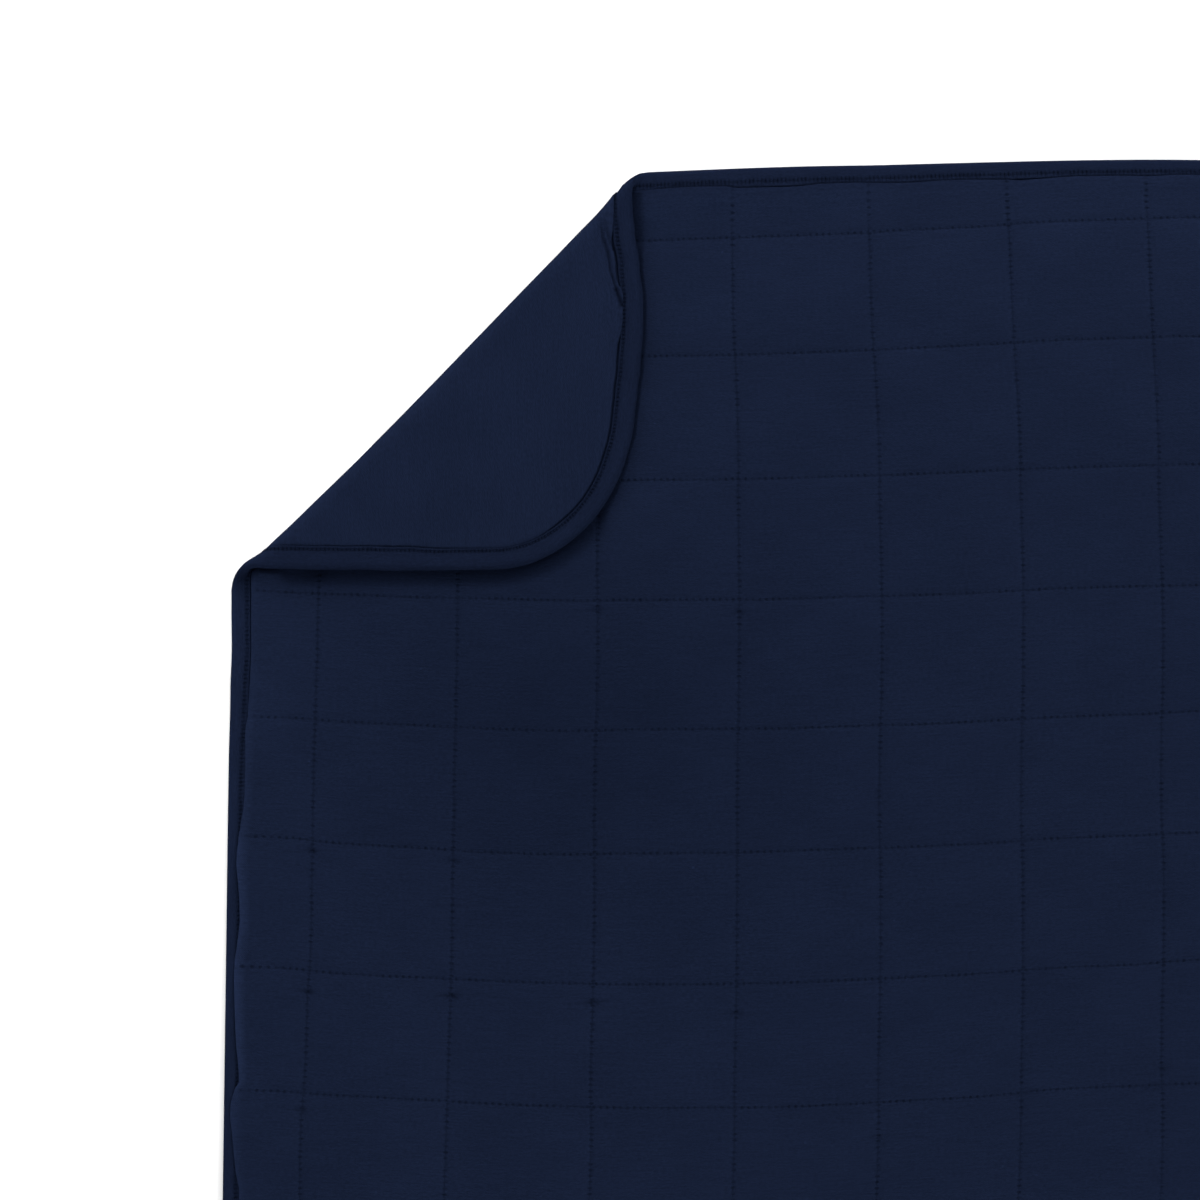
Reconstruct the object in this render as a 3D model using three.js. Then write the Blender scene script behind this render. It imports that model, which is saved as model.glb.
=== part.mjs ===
// A quilted toddler blanket of navy jersey, lying flat and face up, with its top left corner folded over.
// Millimetres, +Z up. Origin: the middle of the blanket's outline, on the surface that it lies on.
// Each piece is laid out on a regular flat pattern, shifted a little to the cloth's uneven lie, and then
// folded over the crease. A point of the pattern is [x, y, up], with up measured from between the panels.

import * as THREE from 'three';
import { mergeVertices } from 'three/addons/utils/BufferGeometryUtils.js';

// Outline of the flat pattern
const WIDTH = 1080;
const LENGTH = 1490;
const CORNER_RADIUS = 90;
const CORNER_STEPS = 6;
const STATION_ROOM = 8; // no station on a straight edge is this near a corner's arc

// Thickness of the layers
const GAP = 0.3;
const EDGE_GAP = 0.8; // between the panels' edges and the binding's fold
const BACK = 1.0;
const FACE_AT_SEAM = 2.0;
const FACE_AT_CROWN = 5.5;
const FACE_IN_BINDING = 1.8;

// Binding, a strip folded round the edge
const BINDING_ON_FACE = 9.6;
const BINDING_ON_BACK = 11.3;
const BINDING = 1.0;
const NOSE_ROUNDING = 1.1;
const RAMP = 8; // beside the binding, the panels come down to the floor over this distance

// Quilting: a grid of rows and columns of stitches
const COLUMN_PITCH = 81.1;
const MIDDLE_COLUMN = -4;
const COLUMNS_EACH_SIDE = 6;
const ROW_PITCH = 70.45;
const FIRST_ROW = 37; // from the top edge
const ROWS = 21;
const SHOULDERS = [0.22, 0.78]; // where a cell's crown begins and ends, as shares of the pitch
const PUFF_POWER = 2.5;
const LOWEST_CROWN = 0.8; // a cell that rises less than this above its corner has a level middle
const EDGE_RISE = 18; // the cloth reaches its full height this far from the binding

// Fold: the crease runs over the top left corner
const CREASE_ON_TOP = 243.4; // from the pattern's corner, along the top edge
const CREASE_ON_SIDE = 248.4; // from the pattern's corner, down the left edge
const BEND_RADIUS = 7.2; // of the cloth between the panels
const BEND_STEPS = 10;
const DESCENT = 3 * Math.PI / 180; // slope of the flap as it comes down from the bend
const DESCENT_LENGTH = 20;
const LEVELLING_RADIUS = 600;
const LEVELLING_STEPS = 2;

// How the real cloth departs from the pattern, in mm at the places named
const SIDE_LEAN = 0.0142; // the long edges bow outwards by this slope each way
const TOP_LEAN = 0.0285;
const LEAN_BLEND = 62;
const EDGE_REACH = 130; // how far in from an edge its own shape is felt
const ROW_SAG = [{ x: -540, down: -1.8 }, { x: -300, down: 5 }, { x: 0, down: -4.6 }, { x: 540, down: -2 }];
const COLUMN_WANDER = [{ y: -300, left: 0 }, { y: 130, left: 4 }, { y: 300, left: 0.5 }, { y: 495, left: 0 }];
const COLUMN_DRIFT = [
  { x: -325, left: 0 }, { x: -244, left: 4.6 }, { x: -160, left: 8 }, { x: 0, left: 9.6 }, { x: 540, left: 0 },
];
const DRIFT_FROM = 495; // the columns drift between these two heights
const DRIFT_TO = 700;
const TOP_SWELL = [{ x: -395, out: 9.5 }, { x: -313, out: 3.6 }, { x: -284, out: 0 }];
const SIDE_SWELL = [
  { y: 491, out: 0 }, { y: 523, out: -2.6 }, { y: 547, out: -2.8 }, { y: 604, out: -0.9 }, { y: 655, out: 0.9 },
];

const NAVY = 0x18213a;
const BINDING_NAVY = 0x161e33;

// Heights measured from between the two panels. In the binding, both panels rise over its lower leg.
const floor = -GAP / 2 - BACK;
const riseInBinding = BINDING + GAP;
const bindingTop = riseInBinding + GAP / 2 + FACE_IN_BINDING + GAP + BINDING;

// Insets of the nested outlines that the panels are built on
const panelEdge = BINDING + EDGE_GAP;
const clearOfBinding = BINDING_ON_BACK + 2 * GAP;
const levelFrom = clearOfBinding + RAMP;

const clamp = (value) => Math.min(1, Math.max(0, value));
const smooth = (value) => clamp(value) ** 2 * (3 - 2 * clamp(value));
const lerp = (from, to, share) => from + (to - from) * share;

// A value from a table of rows, smooth between them and level beyond them
function fromTable(rows, key, column, at) {
  const next = rows.findIndex((row) => row[key] > at);
  if (next === 0) return rows[0][column];
  if (next < 0) return rows[rows.length - 1][column];
  const [a, b] = [rows[next - 1], rows[next]];
  return a[column] + (b[column] - a[column]) * smooth((at - a[key]) / (b[key] - a[key]));
}

// How far a bowed edge falls back at a distance from its middle
const bow = (slope, along) => slope * (Math.hypot(along, LEAN_BLEND) - LEAN_BLEND);

// Where a point of the pattern lies when the cloth is spread out
function spread([x, y, up]) {
  const nearTop = 1 - smooth((LENGTH / 2 - Math.abs(y)) / EDGE_REACH);
  const nearSide = 1 - smooth((WIDTH / 2 - Math.abs(x)) / EDGE_REACH);
  const topEdge = -Math.sign(y) * bow(TOP_LEAN, x) + (y > 0 ? fromTable(TOP_SWELL, 'x', 'out', x) : 0);
  const rows = -fromTable(ROW_SAG, 'x', 'down', x);
  const drift = fromTable(COLUMN_DRIFT, 'x', 'left', x) * smooth((y - DRIFT_FROM) / (DRIFT_TO - DRIFT_FROM));
  const columns = -drift - fromTable(COLUMN_WANDER, 'y', 'left', y);
  const sideSwell = x < 0 ? -fromTable(SIDE_SWELL, 'y', 'out', y) : 0;
  return [
    x * (1 - bow(SIDE_LEAN, y) / (WIDTH / 2)) + nearSide * sideSwell + (1 - nearSide) * columns,
    y + nearTop * topEdge + (1 - nearTop) * rows,
    up,
  ];
}

// The crease, as a direction across it that points to the folded corner, and where the bend starts
const legs = Math.hypot(CREASE_ON_TOP, CREASE_ON_SIDE);
const across = [-CREASE_ON_SIDE / legs, CREASE_ON_TOP / legs];
const bendStart = across[0] * (CREASE_ON_TOP - WIDTH / 2) + across[1] * LENGTH / 2 - BEND_RADIUS + floor;
const beyondBend = ([x, y]) => across[0] * x + across[1] * y - bendStart;

// The folded section: rows of the distance along the cloth, its place between the panels, and its slope
function foldSection() {
  const section = [{ along: 0, out: 0, height: 0, angle: 0 }];
  const arc = (radius, turn, steps) => {
    for (let i = 0; i < steps; i += 1) {
      const last = section[section.length - 1];
      const step = turn / steps;
      const chord = 2 * radius * Math.sin(Math.abs(step) / 2);
      section.push({
        along: last.along + radius * Math.abs(step),
        out: last.out + chord * Math.cos(last.angle + step / 2),
        height: last.height + chord * Math.sin(last.angle + step / 2),
        angle: last.angle + step,
      });
    }
  };
  arc(BEND_RADIUS, Math.PI + DESCENT, BEND_STEPS);
  const end = section[section.length - 1];
  section.push({
    along: end.along + DESCENT_LENGTH,
    out: end.out + DESCENT_LENGTH * Math.cos(end.angle),
    height: end.height + DESCENT_LENGTH * Math.sin(end.angle),
    angle: end.angle,
  });
  arc(LEVELLING_RADIUS, -DESCENT, LEVELLING_STEPS);
  return section;
}
const section = foldSection();

// Where a spread point lies once the corner is folded
function fold(point) {
  const s = beyondBend(point);
  if (s <= 0) return [point[0], point[1], point[2] - floor];
  let k = section.findIndex((row) => row.along > s) - 1;
  if (k < 0) k = section.length - 1;
  const place = (row) => [
    row.out - point[2] * Math.sin(row.angle),
    row.height + point[2] * Math.cos(row.angle),
  ];
  const a = section[k];
  let [out, height] = place(a);
  if (k < section.length - 1) {
    const b = section[k + 1];
    const share = (s - a.along) / (b.along - a.along);
    const [nextOut, nextHeight] = place(b);
    out += (nextOut - out) * share;
    height += (nextHeight - height) * share;
  } else {
    out -= s - a.along;
  }
  return [point[0] + (out - s) * across[0], point[1] + (out - s) * across[1], height - floor];
}

// The two parts of a convex polygon on either side of a line across the fold
function split(polygon, along) {
  const near = [];
  const far = [];
  polygon.forEach((a, i) => {
    const b = polygon[(i + 1) % polygon.length];
    const sa = beyondBend(a) - along;
    const sb = beyondBend(b) - along;
    if (sa <= 0) near.push(a);
    if (sa >= 0) far.push(a);
    if (sa * sb < 0) {
      const [p, q, sp, sq] = sa < 0 ? [a, b, sa, sb] : [b, a, sb, sa];
      const share = sp / (sp - sq);
      const crossing = p.map((value, k) => value + (q[k] - value) * share);
      near.push(crossing);
      far.push(crossing);
    }
  });
  return [near, far];
}

// A closed mesh from triangles of the pattern: spread, cut along the lines of the bend, and folded
function foldedMesh(name, triangles, color) {
  const positions = [];
  const add = (polygon) => {
    const corners = polygon.map(fold);
    for (let i = 1; i + 1 < corners.length; i += 1) positions.push(...corners[0], ...corners[i], ...corners[i + 1]);
  };
  for (const triangle of triangles) {
    let rest = triangle.map(spread);
    for (const row of section) {
      if (rest.length < 3) break;
      const [near, far] = split(rest, row.along);
      if (near.length > 2 && far.length > 2) {
        add(near);
        rest = far;
      } else if (near.length > 2) {
        break;
      }
    }
    add(rest);
  }
  const geometry = new THREE.BufferGeometry();
  geometry.setAttribute('position', new THREE.Float32BufferAttribute(positions, 3));
  const material = new THREE.MeshStandardMaterial({ color, roughness: 0.95, metalness: 0 });
  const mesh = new THREE.Mesh(mergeVertices(geometry, 1e-3), material);
  mesh.name = name;
  return mesh;
}

// Triangles of a convex polygon. More than four corners meet at a point in its middle.
function fan(polygon, fromMiddle = polygon.length > 4) {
  if (!fromMiddle) return polygon.slice(2).map((corner, i) => [polygon[0], polygon[i + 1], corner]);
  const middle = [0, 1, 2].map((k) => polygon.reduce((sum, corner) => sum + corner[k], 0) / polygon.length);
  return polygon.map((corner, i) => [corner, polygon[(i + 1) % polygon.length], middle]);
}

const flipped = (triangles) => triangles.map(([a, b, c]) => [a, c, b]);

// Stitch rows and columns, and where the cloth's shoulders run between them
const columns = Array.from({ length: 2 * COLUMNS_EACH_SIDE + 1 },
  (_, i) => MIDDLE_COLUMN + (i - COLUMNS_EACH_SIDE) * COLUMN_PITCH);
const rows = Array.from({ length: ROWS }, (_, i) => LENGTH / 2 - FIRST_ROW - (ROWS - 1 - i) * ROW_PITCH);
const withShoulders = (lines, pitch) => [lines[0] - pitch, ...lines]
  .flatMap((line) => [line, ...SHOULDERS.map((share) => line + share * pitch)]);
const within = (lines, half) => [-half, ...lines.filter((line) => Math.abs(line) < half - 0.5), half];

// The stations round the outline, anticlockwise, each with its outward direction
function stations() {
  const found = [];
  const straightX = WIDTH / 2 - CORNER_RADIUS;
  const straightY = LENGTH / 2 - CORNER_RADIUS;
  const along = (lines, half) => lines.filter((line) => Math.abs(line) < half - STATION_ROOM);
  const withSwell = (lines, swell, key) => [...lines, ...swell.map((row) => row[key])].sort((a, b) => a - b);
  const corner = (sx, sy, start) => {
    for (let i = 0; i <= CORNER_STEPS; i += 1) {
      const angle = start + (i / CORNER_STEPS) * Math.PI / 2;
      const out = [Math.cos(angle), Math.sin(angle)];
      found.push({ out, x: sx * straightX + CORNER_RADIUS * out[0], y: sy * straightY + CORNER_RADIUS * out[1] });
    }
  };
  corner(1, -1, -Math.PI / 2);
  along(rows, straightY).forEach((y) => found.push({ x: WIDTH / 2, y, out: [1, 0] }));
  corner(1, 1, 0);
  along(withSwell(columns, TOP_SWELL, 'x'), straightX).reverse()
    .forEach((x) => found.push({ x, y: LENGTH / 2, out: [0, 1] }));
  corner(-1, 1, Math.PI / 2);
  along(withSwell(rows, SIDE_SWELL, 'y'), straightY).reverse()
    .forEach((y) => found.push({ x: -WIDTH / 2, y, out: [-1, 0] }));
  corner(-1, -1, Math.PI);
  along(columns, straightX).forEach((x) => found.push({ x, y: -LENGTH / 2, out: [0, -1] }));
  return found;
}
const outline = stations();
const at = (i, inset) => {
  const station = outline[i % outline.length];
  return [station.x - inset * station.out[0], station.y - inset * station.out[1]];
};

// How far a point of the pattern is inside the outline
function insetOf(x, y) {
  const qx = Math.abs(x) - WIDTH / 2 + CORNER_RADIUS;
  const qy = Math.abs(y) - LENGTH / 2 + CORNER_RADIUS;
  return CORNER_RADIUS - Math.hypot(Math.max(qx, 0), Math.max(qy, 0)) - Math.min(Math.max(qx, qy), 0);
}

// Where grid lines cross the straight way from one point to another, in order
function crossings(from, to, gridX, gridY) {
  const shares = [[gridX, 0], [gridY, 1]].flatMap(([grid, k]) => grid
    .map((line) => (line - from[k]) / (to[k] - from[k]))
    .filter((share) => share > 1e-9 && share < 1 - 1e-9));
  return shares.sort((a, b) => a - b).map((share) => from.map((value, k) => value + (to[k] - value) * share));
}

// The part of a convex polygon inside a convex outline that runs anticlockwise
function clipped(polygon, border) {
  let kept = polygon;
  border.forEach((a, i) => {
    const b = border[(i + 1) % border.length];
    const side = (p) => (b[0] - a[0]) * (p[1] - a[1]) - (b[1] - a[1]) * (p[0] - a[0]);
    const before = kept;
    kept = [];
    before.forEach((p, j) => {
      const q = before[(j + 1) % before.length];
      const [sp, sq] = [side(p), side(q)].map((value) => (Math.abs(value) < 1e-7 ? 0 : value));
      if (sp >= 0) kept.push(p);
      if (sp * sq < 0) kept.push(p.map((value, k) => value + (q[k] - value) * sp / (sp - sq)));
    });
  });
  return kept;
}

// Which points lie on the straight way from one point to another, in order
function pointsOn(from, to, points) {
  const way = [to[0] - from[0], to[1] - from[1]];
  const square = way[0] ** 2 + way[1] ** 2;
  const share = (p) => ((p[0] - from[0]) * way[0] + (p[1] - from[1]) * way[1]) / square;
  const aside = (p) => Math.abs((p[0] - from[0]) * way[1] - (p[1] - from[1]) * way[0]) / square;
  return points.filter((p) => aside(p) < 1e-7 && share(p) > 1e-6 && share(p) < 1 - 1e-6)
    .sort((p, q) => share(p) - share(q));
}

// A surface of a panel, facing up: rings between nested outlines, and a grid of cells inside the last one
function surface(insets, gridX, gridY, height) {
  const lift = ([x, y]) => [x, y, height(x, y)];
  const triangles = [];
  const inner = insets[insets.length - 1];
  insets.slice(1).forEach((to, ring) => {
    outline.forEach((_, i) => {
      const start = at(i, to);
      const end = at(i + 1, to);
      const between = to === inner ? crossings(end, start, gridX, gridY) : [];
      const polygon = [at(i, insets[ring]), at(i + 1, insets[ring]), end, ...between, start];
      triangles.push(...fan(polygon.map(lift), false));
    });
  });
  const border = outline.map((_, i) => at(i, inner));
  const withBorder = (cell) => cell.flatMap((p, i) => [p, ...pointsOn(p, cell[(i + 1) % cell.length], border)]);
  gridX.slice(1).forEach((right, i) => {
    gridY.slice(1).forEach((top, j) => {
      const [left, bottom] = [gridX[i], gridY[j]];
      const cell = withBorder(clipped([[left, bottom], [right, bottom], [right, top], [left, top]], border));
      if (cell.length < 3) return;
      const middle = [(left + right) / 2, (bottom + top) / 2];
      const crowned = cell.length === 4 && height(...middle) - height(...cell[0]) > LOWEST_CROWN;
      const parts = fan(cell.map(lift), crowned || cell.length > 4);
      if (crowned) parts.forEach((part) => { part[2] = lift(middle); });
      triangles.push(...parts);
    });
  });
  return triangles;
}

// A panel between two surfaces, with a wall round its edge
function panel(insets, under, top) {
  const wall = outline.flatMap((_, i) => {
    const [a, b] = [at(i, insets[0]), at(i + 1, insets[0])];
    return fan([[...a, under.height(...a)], [...b, under.height(...b)], [...b, top.height(...b)],
      [...a, top.height(...a)]]);
  });
  return [
    ...surface(insets, top.gridX, top.gridY, top.height),
    ...flipped(surface(insets, under.gridX, under.gridY, under.height)),
    ...wall,
  ];
}

// The panels rise over the binding's lower leg
const rise = (x, y) => riseInBinding * (1 - clamp((insetOf(x, y) - clearOfBinding) / (levelFrom - clearOfBinding)));

// The puffed height of a quilted cell, from 0 at its seams to 1 in its middle
const puff = (value, first, pitch) => {
  const share = (value - first) / pitch;
  return 1 - Math.abs(2 * (share - Math.floor(share)) - 1) ** PUFF_POWER;
};

// The face's thickness, with its batting
function faceThickness(x, y) {
  const fromBinding = clamp((insetOf(x, y) - clearOfBinding) / EDGE_RISE);
  const crown = puff(x, columns[0], COLUMN_PITCH) * puff(y, rows[0], ROW_PITCH) * Math.sqrt(fromBinding);
  const seam = FACE_IN_BINDING + (FACE_AT_SEAM - FACE_IN_BINDING) * fromBinding;
  return seam + (FACE_AT_CROWN - FACE_AT_SEAM) * crown;
}

const everyFourth = (lines) => lines.filter((_, i) => i % 4 === 2);
const insets = [panelEdge, clearOfBinding, levelFrom];
const quiltX = within(withShoulders(columns, COLUMN_PITCH), WIDTH / 2 - levelFrom);
const quiltY = within(withShoulders(rows, ROW_PITCH), LENGTH / 2 - levelFrom);
const plainX = within(everyFourth(columns), WIDTH / 2 - levelFrom);
const plainY = within(everyFourth(rows), LENGTH / 2 - levelFrom);
const plain = (height) => ({ gridX: plainX, gridY: plainY, height });

function quiltedFace() {
  const top = {
    gridX: quiltX,
    gridY: quiltY,
    height: (x, y) => rise(x, y) + GAP / 2 + faceThickness(x, y),
  };
  return foldedMesh('quilted_face', panel(insets, plain((x, y) => rise(x, y) + GAP / 2), top), NAVY);
}

function plainBack() {
  const under = plain((x, y) => rise(x, y) + floor);
  const top = plain((x, y) => rise(x, y) - GAP / 2);
  return foldedMesh('plain_back', panel(insets, under, top), NAVY);
}

// The binding's section, as [inset, height] points round its two legs and its rounded nose
function binding() {
  const innerWall = [1, 0].map((k) => [BINDING, lerp(floor + BINDING, bindingTop - BINDING, k / 2)]);
  const profile = [
    [BINDING_ON_BACK, floor],
    [NOSE_ROUNDING, floor],
    [0, floor + NOSE_ROUNDING],
    [0, bindingTop - NOSE_ROUNDING],
    [NOSE_ROUNDING, bindingTop],
    [BINDING_ON_FACE, bindingTop],
    [BINDING_ON_FACE, bindingTop - BINDING],
    [BINDING, bindingTop - BINDING],
    ...innerWall,
    [BINDING_ON_BACK, floor + BINDING],
  ];
  const triangles = outline.flatMap((_, i) => profile.flatMap(([inset, up], k) => {
    const [nextInset, nextUp] = profile[(k + 1) % profile.length];
    return fan([[...at(i, inset), up], [...at(i + 1, inset), up], [...at(i + 1, nextInset), nextUp],
      [...at(i, nextInset), nextUp]]);
  }));
  return foldedMesh('binding', triangles, BINDING_NAVY);
}

const blanket = new THREE.Group();
blanket.add(quiltedFace(), plainBack(), binding());

export default blanket;
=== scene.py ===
# A quilted toddler blanket of navy jersey, lying flat with its top left corner folded over to show the back.
# The cloth is laid out on a flat pattern in millimetres, spread a little unevenly and folded over its crease,
# and turned into metres last. A place in the pattern is x, y and up, measured from between the two panels.
# An inset is the distance from the pattern's outline. A pair of places says where a change starts and ends.

import math

import bmesh
import bpy
import numpy as np
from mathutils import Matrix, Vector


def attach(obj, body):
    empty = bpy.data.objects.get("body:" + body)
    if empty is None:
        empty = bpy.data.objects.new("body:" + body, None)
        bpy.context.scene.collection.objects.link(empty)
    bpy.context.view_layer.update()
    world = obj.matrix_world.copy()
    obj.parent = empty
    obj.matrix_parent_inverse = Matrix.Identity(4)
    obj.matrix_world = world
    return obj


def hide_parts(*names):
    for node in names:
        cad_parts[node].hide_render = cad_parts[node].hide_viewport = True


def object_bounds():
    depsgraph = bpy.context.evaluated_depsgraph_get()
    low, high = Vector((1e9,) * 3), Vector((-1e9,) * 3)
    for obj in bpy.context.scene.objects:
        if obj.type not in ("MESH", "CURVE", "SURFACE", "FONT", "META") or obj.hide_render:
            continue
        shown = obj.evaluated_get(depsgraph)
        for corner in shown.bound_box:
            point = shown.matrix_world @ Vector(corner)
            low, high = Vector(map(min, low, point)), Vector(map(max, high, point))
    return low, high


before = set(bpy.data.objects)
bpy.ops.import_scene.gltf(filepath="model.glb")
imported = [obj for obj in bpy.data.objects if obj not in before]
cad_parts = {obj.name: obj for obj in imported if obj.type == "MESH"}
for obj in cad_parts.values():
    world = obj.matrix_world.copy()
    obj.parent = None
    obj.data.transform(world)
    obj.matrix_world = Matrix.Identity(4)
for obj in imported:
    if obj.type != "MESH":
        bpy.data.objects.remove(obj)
cad_low, cad_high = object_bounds()

MM = 0.001


def table(columns, *rows):
    """Named columns of numbers, given row by row."""
    return dict(zip(columns.split(), np.array(rows, float).T))


# Outline of the flat pattern
WIDTH = round((cad_high.x - cad_low.x) / MM, 1)
LENGTH = round((cad_high.y - cad_low.y) / MM, 1)
CORNER_RADIUS = 90
STRAIGHT_X = WIDTH / 2 - CORNER_RADIUS
STRAIGHT_Y = LENGTH / 2 - CORNER_RADIUS
CORNER_LENGTH = CORNER_RADIUS * math.pi / 2
PERIMETER = 4 * (STRAIGHT_X + STRAIGHT_Y + CORNER_LENGTH)

# Photograph
PHOTO_SIZE = 1200
PHOTO_PIXEL = 0.5667  # mm of the blanket
PHOTO_ORIGIN = (1172, 1473.7)  # the pixel at the pattern's middle

# Thickness of the layers
GAP = 0.3
BACK = 1.0
FACE_AT_SEAM = 3.8
FACE_AT_CROWN = 5.2
FACE_IN_BINDING = 1.2
BINDING = 0.7
FLOOR = -GAP / 2 - BACK
RISE_IN_BINDING = BINDING + GAP
BINDING_TOP = RISE_IN_BINDING + GAP / 2 + FACE_IN_BINDING + GAP + BINDING

# Binding, a strip folded round the edge and stitched down
BINDING_ON_FACE = 11.0
BINDING_ON_BACK = 12.4
STITCHED_ON_FACE = 8.4
STITCHED_ON_BACK = 10.7
FACE_GROOVE = 0.95
BACK_GROOVE = 0.6
STITCHED_NEARER = 0.9  # how much nearer the outline the face's stitching is at the top and bottom
GROOVE_SHALLOWER = 0.7  # the share by which its groove is shallower there
LEFT_STITCHED = table(
    "y in",
    (200, 0), (300, -0.9), (380, -0.9), (420, -0.3), (465, 0.7), (520, 0.7), (560, 0),
)
LEG_WIDER = 1.0  # how much further in the back's stitching lies, low on the pattern
LEG_EDGE_WIDER = 0.4  # and how much more the strip's edge
LEG_WIDER_Y = (630, 600)
LEG_NARROWER = 1.0  # how much further out it lies along the top
LEG_EDGE_NARROWER = -0.5
LEG_NARROWER_X = (-390, -365)
LEG_NARROWER_Y = (640, 670)
STATIONS = 1150
RIPPLE = 0.12

# How dark the binding is, evenly on its back half, and as painted shade in its grooves, beside them, round its
# edge and in the notch under the flap; and how wide each is
BACK_SHADE = {"all": 0.16, "beside": 0.2, "groove": 0.35, "round": 0.3}
FACE_SHADE = {"beside": 0.12, "groove": 0.22, "round_at_top": 0.2, "notch": 0.5}
LESS_BESIDE_AT_TOP = 0.5
LESS_AT_LEFT = 0.4
BESIDE_WIDTH = 1.9
GROOVE_WIDTH = 0.5
ROUND_WIDTH = 3.5
NOTCH_Y = 508  # under the flap's corner, on the left edge
NOTCH_WIDTH = 11

# Insets where the panels end, come clear of the binding, rise, and start their grids
PANEL_EDGE = 1.8
FACE_BETWEEN_LEGS = 11.2
FACE_CLEAR = 12.0
QUILTING_CLEAR = 12.2
BACK_CLEAR = BINDING_ON_BACK + GAP
RISE_REACH = 8
EDGE_RISE = 18
FACE_INNER = 19.9
BACK_INNER = 15.9
COLUMN_OFFSETS = (-28, -17, -9, -4, -1.5, 0, 1.5, 4, 9, 17, 28, 40.5)  # the face's grid lines by a seam
ROW_OFFSETS = (-25, -16, -9, -4, -1.5, 0, 1.5, 4, 9, 16, 25, 35.2)

# Quilting: a grid of rows and columns of stitches
COLUMN_PITCH = 81.1
MIDDLE_COLUMN = -4
COLUMNS_EACH_SIDE = 6
ROW_PITCH = 70.45
FIRST_ROW = 37
ROWS = 21
COLUMNS = [MIDDLE_COLUMN + k * COLUMN_PITCH for k in range(-COLUMNS_EACH_SIDE, COLUMNS_EACH_SIDE + 1)]
ROW_LINES = [LENGTH / 2 - FIRST_ROW - k * ROW_PITCH for k in range(ROWS)]
COLUMN_STITCH = 3.5
ROW_STITCH = 3.8
EDGE_STITCH = 2.4
THREAD_RADIUS = 0.2
THREAD_SUNK = 0.3  # at its ends, in the needle holes
PUFF_POWER = 2.5
CROWN_SPREAD = 0.15  # how uneven the crowns are
SEAM_DEPTH = 0.4
SEAM_WIDTH = 1.2

# Fold: the crease runs over the top left corner. Its bend is tight at the binding and roomier between.
# FOLD has the distance along the crease from its middle, the bend's radius, the slope down from it, and how
# far out it starts. BOW has how far the bend bows inwards
CREASE_ON_TOP = 243.4
CREASE_ON_SIDE = 248.4
LEGS = math.hypot(CREASE_ON_TOP, CREASE_ON_SIDE)
ACROSS = (-CREASE_ON_SIDE / LEGS, CREASE_ON_TOP / LEGS)
ALONG = (ACROSS[1], -ACROSS[0])
CREASE_MIDDLE = ((CREASE_ON_TOP - WIDTH) / 2, (LENGTH - CREASE_ON_SIDE) / 2)
CREASE_CENTRE = ALONG[0] * CREASE_MIDDLE[0] + ALONG[1] * CREASE_MIDDLE[1]
CREASE_FURTHER = 2.96  # towards the corner
CREASE = ACROSS[0] * CREASE_MIDDLE[0] + ACROSS[1] * CREASE_MIDDLE[1] + CREASE_FURTHER
FOLD = table(
    "along radius slope out",
    (-174, 4.6, 0, 1), (-160, 4.7, 0.2, 1), (-148, 5.3, 1, 1), (-134, 6.2, 2, 1), (-110, 7.3, 3.2, 1),
    (-60, 8.3, 4.5, 1), (0, 8.4, 4.5, 0.85), (60, 8.3, 4.5, 0.65), (90, 7.9, 4, 0.5), (125, 6.7, 2.6, 0.35),
    (145, 5.5, 1.2, 0.3), (165, 4.6, 0, 0.2),
)
BOW = table(
    "along in",
    (-174, -1.6), (-160, -1.15), (-154, -1.2), (-150, -1.3), (-147, -0.8), (-143, 0.1), (-139, 0.45),
    (-133, 1.2), (-110, 1.5), (-85, 1.9), (-60, 2.2), (-30, 2.2), (0, 2), (30, 1.7), (60, 1.4), (90, 1.3),
    (125, 1.6), (136, 1.75), (142, 1.8), (148, 1.4), (153, 1.15), (158, 1.7), (162, 1.8), (166, 1.3),
    (172, 1),
)
BOW_REACH = 60
DESCENT = 40
LEVELLING_RADIUS = 500
SETTLING = 30  # the flap comes to its final length and level over this distance
FLAP_LONGER = 1.0
RIM_LEVEL = 10.4  # the flap's middle comes down to this height above the floor along its rim
RIM_INSET = (46, 10)
BEND_CUTS = range(-16, 21, 3)
CUT_REACH = 30

# The soft shadow that the flap casts, narrower where the flap lies closer
SHADOW_REACH = 40
SHADOW_CLOSER_AT_RIGHT = 4.0
SHADOW_RIGHTWARDS = (0.75, 0.95)
SHADOW_BACK_BY = 0.8  # it is less so again above a height
SHADOW_BACK_Y = (683, 703)
SHADOW_CLOSER_AT_LEFT = 2.0
SHADOW_LEFT_X = (-500, -512)

# How the real cloth departs from the pattern, from measurements of the photograph
SIDE_LEAN = 0.0142
TOP_LEAN = 0.0285
LEAN_BLEND = 62
EDGE_REACH = 130
STRAY_REACH = 30
ROW_SAG = table("x down", (-540, -1.8), (-300, 5), (0, -4.6), (540, -2))
COLUMN_WANDER = table("y left", (-300, 0), (130, 4), (300, 0.5), (495, 0))
COLUMN_DRIFT = table("x left", (-325, 0), (-244, 4.6), (-160, 8), (0, 9.6), (540, 0))
COLUMN_DRIFT_Y = (495, 700)
TOP_SWELL = table(
    "x out",
    (-540, 5.6), (-520, 5.8), (-501, 6), (-488, 5.6), (-475, 4.9), (-455, 5), (-440, 6.3), (-427, 7.7),
    (-405, 9), (-387, 8.8), (-367, 6.1), (-347, 3.1), (-335, 1.9), (-325, 1.7), (-310, 1.2), (-298, 0.6),
    (-205, 0.5), (-155, 0),
)
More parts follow.
